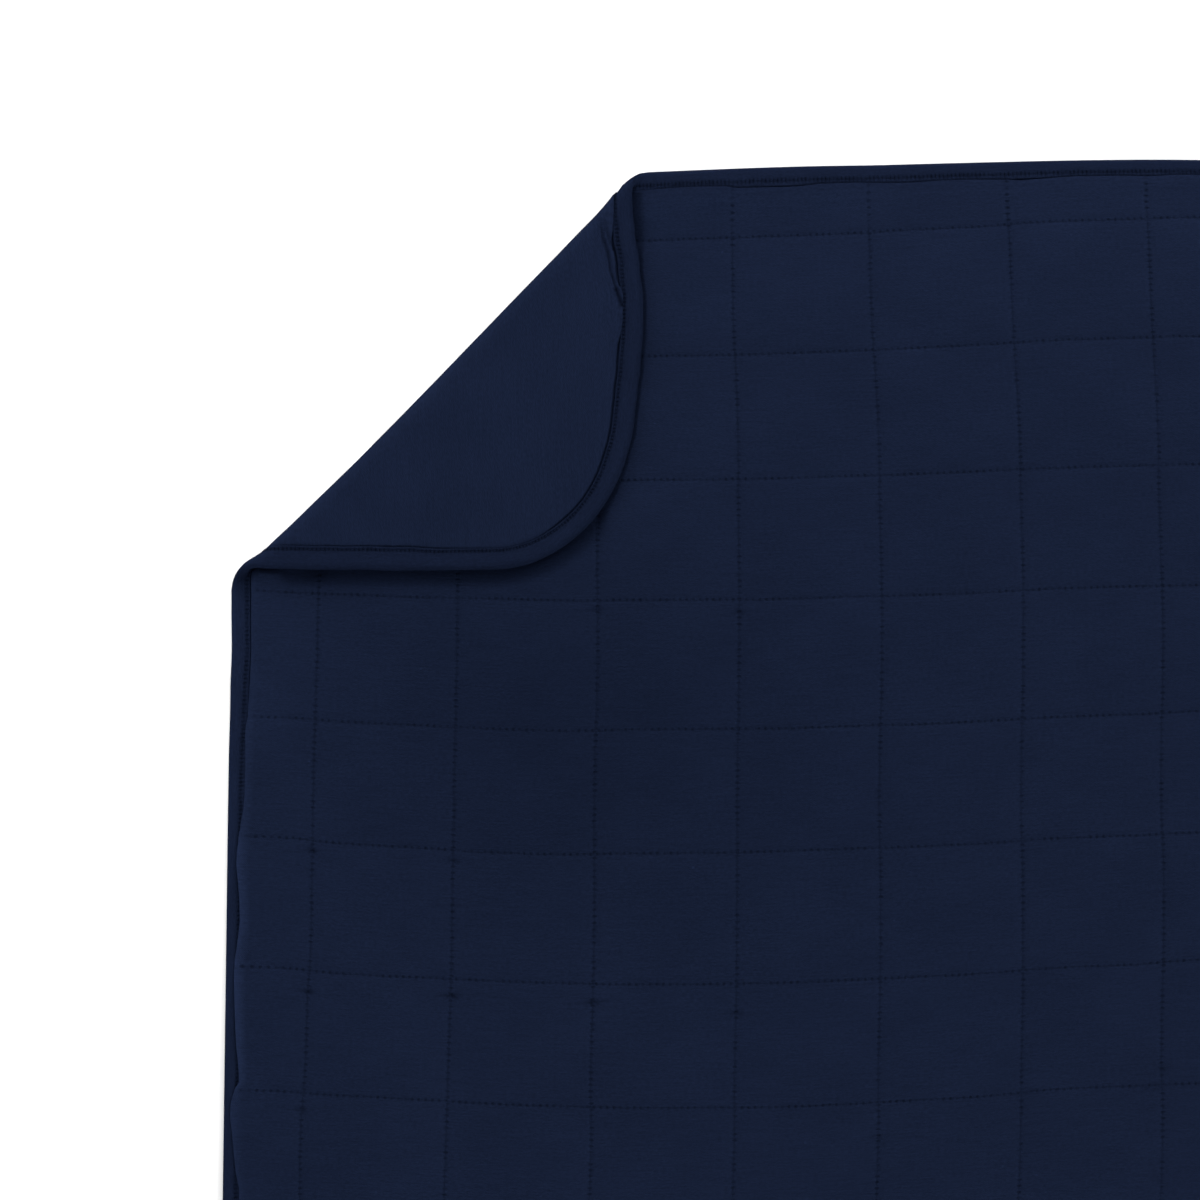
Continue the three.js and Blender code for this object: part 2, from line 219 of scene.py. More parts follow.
SIDE_SWELL = table(
    "y out",
    (400, -0.3), (440, -0.8), (465, -1.7), (488, -1.6), (500, -1.3), (523, -3.5), (540, -3.4), (559, -2.6),
    (574, -1.9), (604, -0.2), (625, 0.4), (655, 0.9), (669, 1.6), (684, 2.3), (718, 2.9), (740, 1),
)

# How far each row of stitches lies below its place, in the middle of each cell from the left edge on. In cells
# that the photograph shows, a scratch script measured the numbers, and so in the next table
ROWS_DOWN = [
    [0, 1, 2, 2.8, 2.5, 0.7, -1.8, -3.3, 0],
    [0, 0, -0.5, -0.9, -0.7, -0.5, -1.7, -3, 0],
    [0, 0, -1, -1, -0.3, 0.8, 0.6, -0.5, 0],
    [-1.5, -1.1, -2.3, -3.5, -2.3, -1, -1.5, -2.4, 0],
    [-1.1, 1, 1.2, -0.6, 0.6, 1.7, 0.8, -1.4, 0],
    [-3.7, -0.3, 0.8, -0.8, -0.3, 0.5, -1, -3.3, 0],
    [-0.3, 2.9, 3.1, 3.2, 3.9, 3.9, 1.8, -1.7, 0],
    [-0.8, 1.3, 2.3, 2.7, 3.8, 3.3, 0.1, -1.9, 0],
    [0, 0.5, 1, 1.2, 1.6, 1.2, 0, -0.8, 0],
    [0, 0, 0, 0, 0, 0, 0, 0, 0],
]
# How far each column of stitches lies to the right of its place, in the middle of each cell from the top down
COLUMNS_RIGHT = [
    [0, 0, -1, -1.8, -1, -1.7, -1.7, 0],
    [0, 0, -0.5, -1.1, 0.5, 1.1, 0.9, 0],
    [0, 0, 0, 0.1, 1.4, 1.5, 0.6, 0],
    [0, 0, -1.4, -0.9, -0.3, -0.2, -2, 0],
    [-0.1, -0.2, -0.6, -0.6, 0.2, 0, -1, 0],
    [-0.4, -0.6, -1.5, -0.9, -0.8, -0.8, -1.9, 0],
    [-0.5, -0.8, -0.8, -0.4, 0.5, 0.6, 0, 0],
    [-2.2, -1.1, -1.1, -0.3, 0.6, 1.1, -0.5, 0],
    [-4.5, -0.5, 1.1, 1.4, 2.2, 2.2, 2, 0],
    [-2, 0, 0.5, 0.7, 1, 1, 0.8, 0],
    [0, 0, 0, 0, 0, 0, 0, 0],
]

# Little tucks where a column's stitches gather the cloth: the column, the row, how far below that row, and
# how deep. They were picked on the photograph, and a scratch script worked out their columns and distances
# The tucks are drawn only in the face's material, as painted shade and a bump
TUCKS = (
    (0, 5, 5.7, 0.7), (0, 6, 11.7, 0.8), (0, 7, 9.4, 0.6), (1, 5, 5.7, 0.6), (1, 6, 9.3, 1), (2, 3, 5, 0.5),
    (2, 6, 10.3, 0.9), (3, 3, 7, 0.6), (3, 6, 16.7, 0.6), (4, 7, 20.3, 0.5), (6, 6, 60.9, 0.4),
)
COLUMNS_SHOWN, ROWS_SHOWN = 7, 9  # on the photograph; past them the tucks are made up
TUCK_BELOW = (5, 19)
TUCK_DEPTH = 0.8
TUCK_RARITY = 4
TUCK_REACH = 25

# How far the puffed face bulges over the binding, along the left edge and along the top edge, from
# measurements of the photograph
LEFT_BULGE = table(
    "y out",
    (159, 1.9), (172, 4.8), (186, 6.8), (199, 8.6), (208, 8.5), (214, 6.4), (220, 2.9), (228, 4), (240, 5.5),
    (254, 6.4), (268, 7.2), (281, 7.6), (288, 7.4), (295, 6.4), (308, 4.6), (315, 4.4), (328, 5.9),
    (342, 7.2), (355, 6.1), (362, 4.8), (376, 2.8), (404, 2.6), (418, 3.2), (428, 1.9), (445, 1.1),
    (467, 0.9),
)
TOP_BULGE = table(
    "x out",
    (-330, 2.8), (-292, 3), (-272, 3.3), (-252, 2.9), (-244, 1.7), (-211, 1.4), (-194, 2.6), (-177, 2.8),
    (-143, 1.8), (-122, 2.6), (-109, 2.6), (-88, 1.9), (-75, 0.9), (-58, 1.9), (-48, 2.5), (-20, 2.5),
    (0, 1.9), (14, 2.8),
)
BULGE_INSET = (60, 30)
LEFT_BULGE_Y = (130, 155), (620, 560)
TOP_BULGE_X = (-420, -360), (90, 30)
USUAL_BULGE = 3.2
BULGE_SPREAD = 2.2
MOST_BULGE = 8.8
BULGE_FOOT = 12.3  # the inset of the face's front where it doesn't bulge

# The bulging edge's section: the inset in the cloth, the share of the bulge, and the height
EDGE_SECTION = table(
    "inset out up",
    (10.4, 0, 2.35), (11.1, 0, 2.45), (11.3, 0.02, 3.45), (11.7, 0.6, 3.6), (12.2, 0.96, 3.75),
    (12.6, 1, 4.2), (13.1, 0.97, 4.75), (13.9, 0.9, 5.3), (15.2, 0.78, 5.75), (17.2, 0.6, 5.95),
    (22.6, 0.28, 5.85), (34, 0, 5.3),
)
SECTION_INSET = (34, 14)
LOWER_AT_SEAMS = 0.7
LOWER_INSET = (11.3, 12.8)

# How much more light the puffed edges catch, at the left and at the top, where they bulge most
LEFT_LIT = table(
    "y lit",
    (159, 0.5), (209, 0.5), (222, 0.6), (235, 0.85), (270, 0.85), (300, 0.65), (350, 0.65), (365, 0.32),
    (425, 0.22), (440, 0.1), (500, 0.05), (560, 0),
)
TOP_LIT = table("x lit", (-320, -0.22), (-80, -0.22), (-60, -0.12))
LIT_FROM_SHARE = 0.6

# Painted soft patches of shade and light on the face, where the light falls unevenly and beside the flap's
# corner: x, y, half width, half height, and how much darker, or lighter where it is below 0
PAINTED_LIGHT_AND_SHADE = (
    (-355, 430, 130, 95, 0.23), (-515, 455, 20, 45, -0.08), (-20, 720, 250, 60, -0.1), (-520, 510, 7, 2, 0.4),
    (-491, 508, 7, 4, 0.2),
)

# Creases on the flap: half width, lift, painted shade along the crease, and a path of places on the photograph
# in pixels
LONG_PLEAT_PATH = ((599, 221), (603.5, 240), (608, 255), (610, 270), (613.5, 282), (616, 290))
FLAP_CREASES = {
    "short pleat": (0.9, -0.6, 0.35, ((603, 222), (607, 234), (609, 240), (613, 251))),
    "pleat's ridge": (1.2, 0.8, 0, ((607, 240), (611, 252), (613.5, 265), (616, 281))),
    "long pleat": (0.9, -0.8, 0.6, LONG_PLEAT_PATH),
    "pleat's foot": (1.4, -0.9, 0.95, ((616, 290), (619, 298), (621.5, 306))),
    "soft trough": (9, -0.5, 0, ((563, 380), (560, 440), (559, 500), (562, 540))),
    "faint trough": (8, -0.35, 0, ((436, 388), (434, 420), (436, 446))),
}
PLEATS_ALONG = (98, 138)
FLAP_ALONG = 190  # half of the crease's length, with some room
FLAP_UNEVEN = 0.25
FLAP_FROM = (12, 24)

# The back's section beside the binding: the inset, the height above its level and, where it bulges over the
# binding, the share of the bulge and how far it swells; and the bulge along the flap's right edge
BACK_EDGE = table(
    "inset up out swell",
    (12.7, 1, 0, 0), (13.2, 0.8, 0.95, 0.85), (13.5, 0.45, 1, 0.9), (13.9, 0.2, 0.95, 0.75),
    (14.5, 0.06, 0.8, 0.6), (15.2, 0, 0.6, 0.4), (17.2, 0, 0.2, 0.1), (20, 0, 0, 0),
)
FLAP_BULGE = table(
    "x out",
    (-412, 0), (-409, 0.8), (-405, 1.8), (-398, 2.4), (-384, 2.5), (-381, 2), (-378, 0.7), (-375, 0),
    (-354, 0), (-345, 1.2), (-340, 2.1), (-334, 2.9), (-328, 3.3), (-320, 2.2), (-310, 0),
)
LEFT_AT_SIDES = (0.65, 0.4)  # the share of the height at the left and right: at the first inset, and past it
# Painted shade in the crevice where the back's edge tucks under the binding, more along the top edge
TUCKED_PAINTED_SHADE = 0.7
TUCKED_INSET = (14, 13.1)

# Colours, and how much darker or lighter the details are: painted shade in the needle holes, along the seams
# and by the shade marks, and lint lighter
NAVY = (0.0060, 0.0098, 0.0245)
BINDING_NAVY = (0.0058, 0.0094, 0.0236)
THREAD_NAVY = (0.0052, 0.0085, 0.0213)
HOLE_DARKER = 0.46
SEAM_DARKER = 0.05
SHADE_DARKER = 0.75
LINT_LIGHTER = 0.45
COURSE = 1.1  # the knit's loops
WALE = 0.8
TWIST = 0.55


def smooth(share):
    share = np.clip(share, 0, 1)
    return share * share * (3 - 2 * share)


def fade(value, start, end):
    """0 before the start, 1 past the end, and soft between. The end may be the lower one."""
    return smooth((value - start) / (end - start))


def from_table(rows, key, column, at, eased=True):
    """A column of a table at the places asked for, level beyond its ends."""
    places, values = rows[key], rows[column]
    at = np.asarray(at, float)
    k = np.clip(np.searchsorted(places, at, side="right") - 1, 0, len(places) - 2)
    share = np.clip((at - places[k]) / (places[k + 1] - places[k]), 0, 1)
    if eased:
        share = smooth(share)
    return values[k] + (values[k + 1] - values[k]) * share


def unevenness(x, y, size, seed, waves=9):
    """Soft bumps of about a size, mostly from -1 to 1 and the same on each run."""
    random = np.random.default_rng(seed)
    total = np.zeros(np.shape(x))
    for _ in range(waves):
        angle, phase = random.uniform(0, 2 * math.pi, 2)
        length = size * random.uniform(0.7, 1.6)
        total += np.sin(2 * math.pi * (x * math.cos(angle) + y * math.sin(angle)) / length + phase)
    return total / math.sqrt(waves)


def bow(slope, along):
    """How far a bowed edge falls back at a distance from its middle."""
    return slope * (np.hypot(along, LEAN_BLEND) - LEAN_BLEND)


def steeper(share):
    """From 0 to 1, steeper in the middle."""
    return 0.5 * share + 0.5 * smooth((share - 0.5) * 2.2 + 0.5)


def from_grid(grid, across, down):
    """A value from a grid of rows, at places counted from its first column and its first row."""
    grid = np.array(grid, float)
    rows, columns = grid.shape
    across = np.clip(across, 0, columns - 1)
    down = np.clip(down, 0, rows - 1)
    i = np.minimum(down.astype(int), rows - 2)
    j = np.minimum(across.astype(int), columns - 2)
    down, across = steeper(down - i), steeper(across - j)
    upper = grid[i, j] * (1 - across) + grid[i, j + 1] * across
    lower = grid[i + 1, j] * (1 - across) + grid[i + 1, j + 1] * across
    return upper * (1 - down) + lower * down


def spread(x, y):
    """Where a place in the pattern lies when the cloth is spread out."""
    from_end, from_side = LENGTH / 2 - np.abs(y), WIDTH / 2 - np.abs(x)
    near_end, near_side = fade(from_end, EDGE_REACH, 0), fade(from_side, EDGE_REACH, 0)
    end_edge = -np.sign(y) * bow(TOP_LEAN, x) + np.where(y > 0, from_table(TOP_SWELL, "x", "out", x), 0)
    side_edge = np.where(x < 0, -from_table(SIDE_SWELL, "y", "out", y), 0)
    column = (x - COLUMNS[0]) / COLUMN_PITCH
    row = (ROW_LINES[0] - y) / ROW_PITCH
    stray_down = from_grid(ROWS_DOWN, column + 0.5, row) * fade(from_end, 0, STRAY_REACH)
    stray_right = from_grid(COLUMNS_RIGHT, column, row + 0.5) * fade(from_side, 0, STRAY_REACH)
    drift = from_table(COLUMN_DRIFT, "x", "left", x) * fade(y, *COLUMN_DRIFT_Y)
    columns = -drift - from_table(COLUMN_WANDER, "y", "left", y)
    rows = -from_table(ROW_SAG, "x", "down", x)
    leaning = x * (1 - bow(SIDE_LEAN, y) / (WIDTH / 2))
    return (
        leaning + near_side * side_edge + (1 - near_side) * columns + stray_right,
        y + near_end * end_edge + (1 - near_end) * rows - stray_down,
    )


class Bend:
    """The fold at places of the spread cloth: its section, and how far beyond its start each place is."""

    def __init__(self, x, y):
        across = ACROSS[0] * x + ACROSS[1] * y
        along = ALONG[0] * x + ALONG[1] * y - CREASE_CENTRE
        slope, out = (from_table(FOLD, "along", key, along) for key in ("slope", "out"))
        self.radius = from_table(FOLD, "along", "radius", along)
        self.bow = from_table(BOW, "along", "in", along, eased=False)
        self.slope = np.radians(slope)
        self.end = self.radius * (math.pi + self.slope)
        self.descent_end = self.end + DESCENT
        self.level = self.descent_end + LEVELLING_RADIUS * self.slope
        self.beyond = across - CREASE - out + self.radius * math.pi / 2

    def flap_height(self):
        """The height of the flap's middle above the floor once it's level."""
        drop = DESCENT * np.sin(self.slope) + LEVELLING_RADIUS * (1 - np.cos(self.slope))
        return self.radius * (1 + np.cos(self.slope)) - drop - FLOOR


def beyond_bend(x, y):
    """How far a place in the pattern is beyond the start of the bend."""
    return Bend(*spread(x, y)).beyond


def fold(x, y, up, sag):
    """Where spread cloth lies once the corner is folded over, in mm. sag is 1 where the flap's rim sinks."""
    bend = Bend(x, y)
    s, down = bend.beyond, math.pi + bend.slope
    bend_angle = np.clip(s, 0, bend.end) / bend.radius
    in_descent = np.clip(s - bend.end, 0, DESCENT)
    in_levelling = np.clip(s - bend.descent_end, 0, bend.level - bend.descent_end)
    levelling = LEVELLING_RADIUS * (s > bend.descent_end)
    angle = bend_angle - in_levelling / LEVELLING_RADIUS
    out = (
        np.minimum(s, 0)
        + bend.radius * np.sin(bend_angle)
        + in_descent * np.cos(down)
        + levelling * (np.sin(down) - np.sin(angle))
        - np.maximum(s - bend.level, 0)
    )
    height = (
        bend.radius * (1 - np.cos(bend_angle))
        + in_descent * np.sin(down)
        + levelling * (np.cos(angle) - np.cos(down))
    )
    settled = fade(s - bend.end, 0, SETTLING)
    bowed = bend.bow * fade(np.abs(s - bend.end / 2), BOW_REACH, 0)
    out = out - up * np.sin(angle) - bowed - FLAP_LONGER * settled
    sunk = np.maximum(bend.flap_height() - RIM_LEVEL, 0) * sag * settled
    height = height + up * np.cos(angle) - sunk
    return np.stack([x + (out - s) * ACROSS[0], y + (out - s) * ACROSS[1], height - FLOOR], axis=-1)


def rim_sag(x, y):
    return fade(inset_of(x, y), *RIM_INSET)


def lay(x, y, up):
    """Where a place in the pattern lies on the finished blanket."""
    return fold(*spread(x, y), up, rim_sag(x, y))


def inset_of(x, y):
    """How far a place in the pattern is inside the outline."""
    qx = np.abs(x) - STRAIGHT_X
    qy = np.abs(y) - STRAIGHT_Y
    return CORNER_RADIUS - np.hypot(np.maximum(qx, 0), np.maximum(qy, 0)) - np.minimum(np.maximum(qx, qy), 0)


def outward(x, y):
    """The direction to the nearest place on the outline."""
    qx = np.abs(x) - STRAIGHT_X
    qy = np.abs(y) - STRAIGHT_Y
    in_corner = (qx > 0) & (qy > 0)
    long_way = np.maximum(np.hypot(qx, qy), 1e-9)
    dx = np.where(in_corner, qx / long_way, (qx >= qy) * 1.0)
    dy = np.where(in_corner, qy / long_way, (qx < qy) * 1.0)
    return dx * np.sign(x), dy * np.sign(y)


def outline_at(t):
    """Places on the outline and the ways out of it, by the distance round from the right side's foot."""
    t = np.asarray(t, float) % PERIMETER
    place = np.zeros((len(t), 2))
    out = np.zeros((len(t), 2))
    start = 0
    for side in range(4):
        turn = side * math.pi / 2
        half, reach = (STRAIGHT_Y, STRAIGHT_X) if side % 2 == 0 else (STRAIGHT_X, STRAIGHT_Y)
        here = (t >= start) & (t < start + 2 * half + CORNER_LENGTH)
        u = t[here] - start
        angle = turn + np.maximum(u - 2 * half, 0) / CORNER_RADIUS
        along = np.minimum(u, 2 * half) - half
        normal = np.stack([np.cos(angle), np.sin(angle)], axis=-1)
        out[here] = normal
        place[here, 0] = reach * math.cos(turn) - along * math.sin(turn)
        place[here, 1] = reach * math.sin(turn) + along * math.cos(turn)
        place[here] += CORNER_RADIUS * normal
        start += 2 * half + CORNER_LENGTH
    return place, out


def rise(inset):
    """The panels rise over the binding's lower leg."""
    return RISE_IN_BINDING * fade(inset, BACK_CLEAR + RISE_REACH, BACK_CLEAR)


def puffs(x, y):
    """How puffed the face is between two columns and between two rows, from 0 at a seam to 1 midway."""
    found = []
    for value, first, pitch in ((x, COLUMNS[0], COLUMN_PITCH), (y, ROW_LINES[0], ROW_PITCH)):
        share = ((value - first) / pitch) % 1
        found.append(1 - np.abs(2 * share - 1) ** PUFF_POWER)
    return found


def nearest_line(value, lines):
    """The signed distance to the nearest of evenly spaced lines, and that line's number."""
    pitch = lines[1] - lines[0]
    number = np.clip(np.rint((value - lines[0]) / pitch), 0, len(lines) - 1).astype(int)
    return value - (lines[0] + number * pitch), number


def tucks(x, y):
    """How far each place is above the nearest tuck of its column, and how deep that tuck is, or 0."""
    random = np.random.default_rng(21)
    below = random.uniform(*TUCK_BELOW, (len(COLUMNS), ROWS))
    deep = TUCK_DEPTH * random.uniform(0, 1, (len(COLUMNS), ROWS)) ** TUCK_RARITY
    deep[:COLUMNS_SHOWN, :ROWS_SHOWN] = 0
    for column, row, down, depth in TUCKS:
        below[column, row], deep[column, row] = down, depth
    aside, column = nearest_line(x, COLUMNS)
    nearest = np.full(np.shape(x), 1e3)
    depth = np.zeros(np.shape(x))
    for step in (-1, 0, 1):
        row = np.clip(np.floor((ROW_LINES[0] - y) / ROW_PITCH).astype(int) + step, 0, ROWS - 1)
        away = y - (ROW_LINES[0] - row * ROW_PITCH - below[column, row])
        closer = (np.abs(away) < np.abs(nearest)) & (deep[column, row] > 0)
        nearest = np.where(closer, away, nearest)
        depth = np.where(closer, deep[column, row], depth)
    return nearest, depth * (np.abs(nearest) < TUCK_REACH) * (np.abs(aside) < TUCK_REACH)


def face_top(x, y):
    """The height of the face's upper side, on the pattern."""
    inset = inset_of(x, y)
    from_binding = np.clip((inset - FACE_CLEAR) / EDGE_RISE, 0, 1)
    between_columns, between_rows = puffs(x, y)
    swell = 1 + CROWN_SPREAD * unevenness(x, y, 120, seed=13)
    crown = between_columns * between_rows * np.sqrt(from_binding) * swell
    seam = FACE_IN_BINDING + (FACE_AT_SEAM - FACE_IN_BINDING) * smooth(from_binding * 2)
    away = np.minimum(np.abs(nearest_line(x, COLUMNS)[0]), np.abs(nearest_line(y, ROW_LINES)[0]))
    crease = SEAM_DEPTH * np.exp(-((away / SEAM_WIDTH) ** 2)) * from_binding
    return rise(inset) + GAP / 2 + seam + (FACE_AT_CROWN - FACE_AT_SEAM) * crown - crease


def bulge(x, y):
    """How far the face bulges outwards over the binding beside a place near the outline."""
    between_columns, between_rows = puffs(x, y)
    scallops = between_columns * (np.abs(y) > STRAIGHT_Y) + between_rows * (np.abs(x) > STRAIGHT_X)
    uneven = 0.6 * np.clip(scallops, 0, 1) - 0.5 + 0.5 * unevenness(x, y, 60, seed=14)
    found = USUAL_BULGE + BULGE_SPREAD * uneven
    for rows, key, at, inset, (starts, ends) in (
        (LEFT_BULGE, "y", y, x + WIDTH / 2, LEFT_BULGE_Y),
        (TOP_BULGE, "x", x, LENGTH / 2 - y, TOP_BULGE_X),
    ):
        here = fade(inset, *BULGE_INSET) * fade(at, *starts) * fade(at, *ends)
        found = found + (from_table(rows, key, "out", at) - found) * here
    return np.clip(found, 0, MOST_BULGE) * fade(beyond_bend(x, y), 6, -4)


def grid_mesh(lines_u, lines_v, turn, inner, rings):
    """Places and quads of a grid turned by an angle, trimmed to an inset of the outline, with rings round it.

    Returns the places' x, y and inset, the quads, and the outermost ring's edges."""
    u, v = np.meshgrid(np.asarray(lines_u, float), np.asarray(lines_v, float), indexing="ij")
    x = (u * math.cos(turn) - v * math.sin(turn)).ravel()
    y = (u * math.sin(turn) + v * math.cos(turn)).ravel()
    inside = inset_of(x, y) >= inner - 1e-6
    index = np.arange(u.size).reshape(u.shape)
    cells = np.stack([index[:-1, :-1], index[1:, :-1], index[1:, 1:], index[:-1, 1:]], axis=-1).reshape(-1, 4)
    cells = cells[inside[cells].any(axis=1)]
    used = np.unique(cells)
    renumber = np.zeros(u.size, int)
    renumber[used] = np.arange(len(used))
    cells = renumber[cells]
    x, y, inside = x[used], y[used], inside[used]
    dx, dy = outward(x, y)
    back = np.where(inside, 0, inset_of(x, y) - inner)
    x, y = x + dx * back, y + dy * back

    edges = np.concatenate([cells[:, [0, 1]], cells[:, [1, 2]], cells[:, [2, 3]], cells[:, [3, 0]]])
    _, first, uses = np.unique(np.sort(edges, axis=1), axis=0, return_index=True, return_counts=True)
    border = edges[first[uses == 1]]
    rim = np.unique(border)
    quads = [cells]
    xs, ys, insets = [x], [y], [np.maximum(inset_of(x, y), inner)]
    last = np.arange(len(x))
    count = len(x)
    dx, dy = outward(x[rim], y[rim])
    for inset in rings:
        number = np.zeros(len(x), int)
        number[rim] = count + np.arange(len(rim))
        tail, head = border[:, 0], border[:, 1]
        quads.append(np.stack([last[head], last[tail], number[tail], number[head]], -1))
        xs.append(x[rim] + dx * (inner - inset))
        ys.append(y[rim] + dy * (inner - inset))
        insets.append(np.full(len(rim), float(inset)))
        last = number
        count += len(rim)
    return np.concatenate(xs), np.concatenate(ys), np.concatenate(insets), np.concatenate(quads), last[border]


def rings_of(section, inner, more):
    """The insets of the rings outside a grid, from its section's rows and some more."""
    return [inset for inset in section["inset"][::-1] if inset < inner] + more


def closed_sheet(quads, border, count):
    """The faces of a sheet between two copies of a surface, with a wall round its edge."""
    wall = np.stack([border[:, 1] + count, border[:, 0] + count, border[:, 0], border[:, 1]], axis=-1)
    return np.concatenate([quads, quads[:, ::-1] + count, wall])


def make_object(name, points, faces, pattern, **marks):
    """An object of a mesh in mm, with its places in the pattern, and other marks, kept for the material."""
    mesh = bpy.data.meshes.new(name)
    mesh.from_pydata((points * MM).tolist(), [], [list(face) for face in faces])
    mesh.update()
    place = mesh.attributes.new("pattern", "FLOAT_VECTOR", "POINT")
    place.data.foreach_set("vector", np.asarray(pattern, np.float32).ravel())
    for mark, values in marks.items():
        kept = mesh.attributes.new(mark, "FLOAT", "POINT")
        kept.data.foreach_set("value", np.asarray(values, np.float32))
    mesh.polygons.foreach_set("use_smooth", np.ones(len(mesh.polygons), bool))
    made = bpy.data.objects.new(name, mesh)
    bpy.context.scene.collection.objects.link(made)
    return made


def cut_at_bend(places, faces, extra):
    """Cuts a spread mesh along lines across the fold, so that it bends cleanly there."""
    made = bmesh.new()
    layers = [made.verts.layers.float.new("extra_%d" % k) for k in range(extra.shape[1])]
    for place, more in zip(places.tolist(), extra.tolist()):
        vert = made.verts.new(place)
        for layer, value in zip(layers, more):
            vert[layer] = value
    made.verts.ensure_lookup_table()
    verts = made.verts
    for face in faces.tolist():
        made.faces.new([verts[k] for k in face])
    normal = (*ACROSS, 0)
    for along in BEND_CUTS:
        away = {f: np.dot(ACROSS, f.calc_center_median()[:2]) - CREASE - along for f in made.faces}
        near = [f for f in made.faces if abs(away[f]) < CUT_REACH]
        edges = {e for f in near for e in f.edges}
        corners = {v for f in near for v in f.verts}
        middle = [n * (CREASE + along) for n in normal]
        parts = [*corners, *edges, *near]
        bmesh.ops.bisect_plane(made, geom=parts, dist=1e-5, plane_co=middle, plane_no=normal)
    made.verts.ensure_lookup_table()
    made.verts.index_update()
    places = np.array([v.co[:] for v in made.verts])
    extra = np.array([[v[layer] for layer in layers] for v in made.verts])
    faces = [[v.index for v in f.verts] for f in made.faces]
    made.free()
    return places, faces, extra


def lines_between(lines, offsets, half):
    """Grid lines at offsets from each seam, inside a half size."""
    pitch = abs(lines[1] - lines[0])
    every = [min(lines) - pitch, *lines, max(lines) + pitch]
    found = sorted(line + offset for line in every for offset in offsets)
    return [-half, *[v for v in found if abs(v) < half - 1.2], half]


def from_flap(x, y):
    """How far places of the spread cloth lie outside the folded flap's outline, below 0 under the flap."""
    place, _ = outline_at(np.arange(0, PERIMETER, 2.5))
    rim = lay(place[:, 0], place[:, 1], 1.0)[beyond_bend(place[:, 0], place[:, 1]) > 8, :2]
    ahead = np.gradient(rim, axis=0)
    normal = np.stack([-ahead[:, 1], ahead[:, 0]], axis=-1) / np.hypot(ahead[:, 0], ahead[:, 1])[:, None]
    low_enough = (x < rim[:, 0].max() + SHADOW_REACH) & (y > rim[:, 1].min() - SHADOW_REACH)
    near = low_enough & (Bend(x, y).beyond < 0)
    way = np.stack([x[near, None] - rim[:, 0], y[near, None] - rim[:, 1]], axis=-1)
    long_way = np.hypot(way[..., 0], way[..., 1])
    nearest = long_way.argmin(axis=1)
    every = np.arange(len(nearest))
    side = np.sign((way[every, nearest] * normal[nearest]).sum(axis=-1))
    at_right = fade(normal[nearest, 0], *SHADOW_RIGHTWARDS)
    at_right = at_right * (1 - SHADOW_BACK_BY * fade(rim[nearest, 1], *SHADOW_BACK_Y))
    at_left = fade(rim[nearest, 0], *SHADOW_LEFT_X)
    closer = 1 + SHADOW_CLOSER_AT_RIGHT * at_right + SHADOW_CLOSER_AT_LEFT * at_left
    away = np.full(np.shape(x), float(SHADOW_REACH))
    away[near] = np.clip(long_way[every, nearest] * side * closer, -SHADOW_REACH, SHADOW_REACH)
    return away


def face_cloth():
    """The quilted face, puffed between its seams, its edge bulging over the binding."""
    columns = lines_between(COLUMNS, COLUMN_OFFSETS, WIDTH / 2 - FACE_INNER)
    rows = lines_between(ROW_LINES, ROW_OFFSETS, LENGTH / 2 - FACE_INNER)
    rings = rings_of(EDGE_SECTION, FACE_INNER, [PANEL_EDGE])
    x, y, inset, quads, border = grid_mesh(columns, rows, 0, FACE_INNER, rings)
    dx, dy = outward(x, y)
    share, lip = (from_table(EDGE_SECTION, "inset", key, inset, eased=False) for key in ("out", "up"))
    between_columns, between_rows = puffs(x, y)
    between_seams = np.where(np.abs(dx) > 0.5, between_rows, between_columns)
    lip = lip - LOWER_AT_SEAMS * (1 - between_seams) * fade(inset, *LOWER_INSET)

    plain = face_top(x, y)
    near_edge = fade(inset, *SECTION_INSET) * fade(beyond_bend(x, y), 8, -8)
    up = plain + (np.maximum(lip, plain) - plain) * near_edge
    up = np.where(inset < FACE_BETWEEN_LEGS, RISE_IN_BINDING + GAP / 2 + FACE_IN_BINDING, up)
    low = rise(inset) + GAP / 2
    shift = bulge(x, y) * share
    upper, lower = spread(x + dx * shift, y + dy * shift), spread(x, y)
    places = np.concatenate([np.stack([*upper, up], -1), np.stack([*lower, low], -1)])

    lit = np.where(dx < -0.5, from_table(LEFT_LIT, "y", "lit", y), 0)
    lit = np.where(dy > 0.5, from_table(TOP_LIT, "x", "lit", x), lit)
    lit = lit * np.clip((share - LIT_FROM_SHARE) / (1 - LIT_FROM_SHARE), 0, 1)
    extra = np.concatenate([np.stack([x, y, *tucks(x, y), from_flap(*upper), lit], -1)] * 2)
    places, faces, extra = cut_at_bend(places, closed_sheet(quads, border, len(x)), extra)
    points = fold(*places.T, rim_sag(extra[:, 0], extra[:, 1]))
    marks = {"shade": extra[:, 3], "from_flap": extra[:, 4], "lit": extra[:, 5]}
    return make_object("face_cloth", points, faces, extra[:, :3], **marks)


def distinct(lines):
    return sorted(set(round(line, 3) for line in lines))


def place_on_photo(px, py):
    """A pixel of the photograph as a place, in mm."""
    return (px - PHOTO_ORIGIN[0]) * PHOTO_PIXEL, (PHOTO_ORIGIN[1] - py) * PHOTO_PIXEL


def away_from_path(x, y, path):
    """The distance to a path of straight stretches."""
    best = np.full(np.shape(x), 1e9)
    for (ax, ay), (bx, by) in zip(path, path[1:]):
        wx, wy = bx - ax, by - ay
        share = np.clip(((x - ax) * wx + (y - ay) * wy) / (wx * wx + wy * wy), 0, 1)
        best = np.minimum(best, np.hypot(x - ax - share * wx, y - ay - share * wy))
    return best


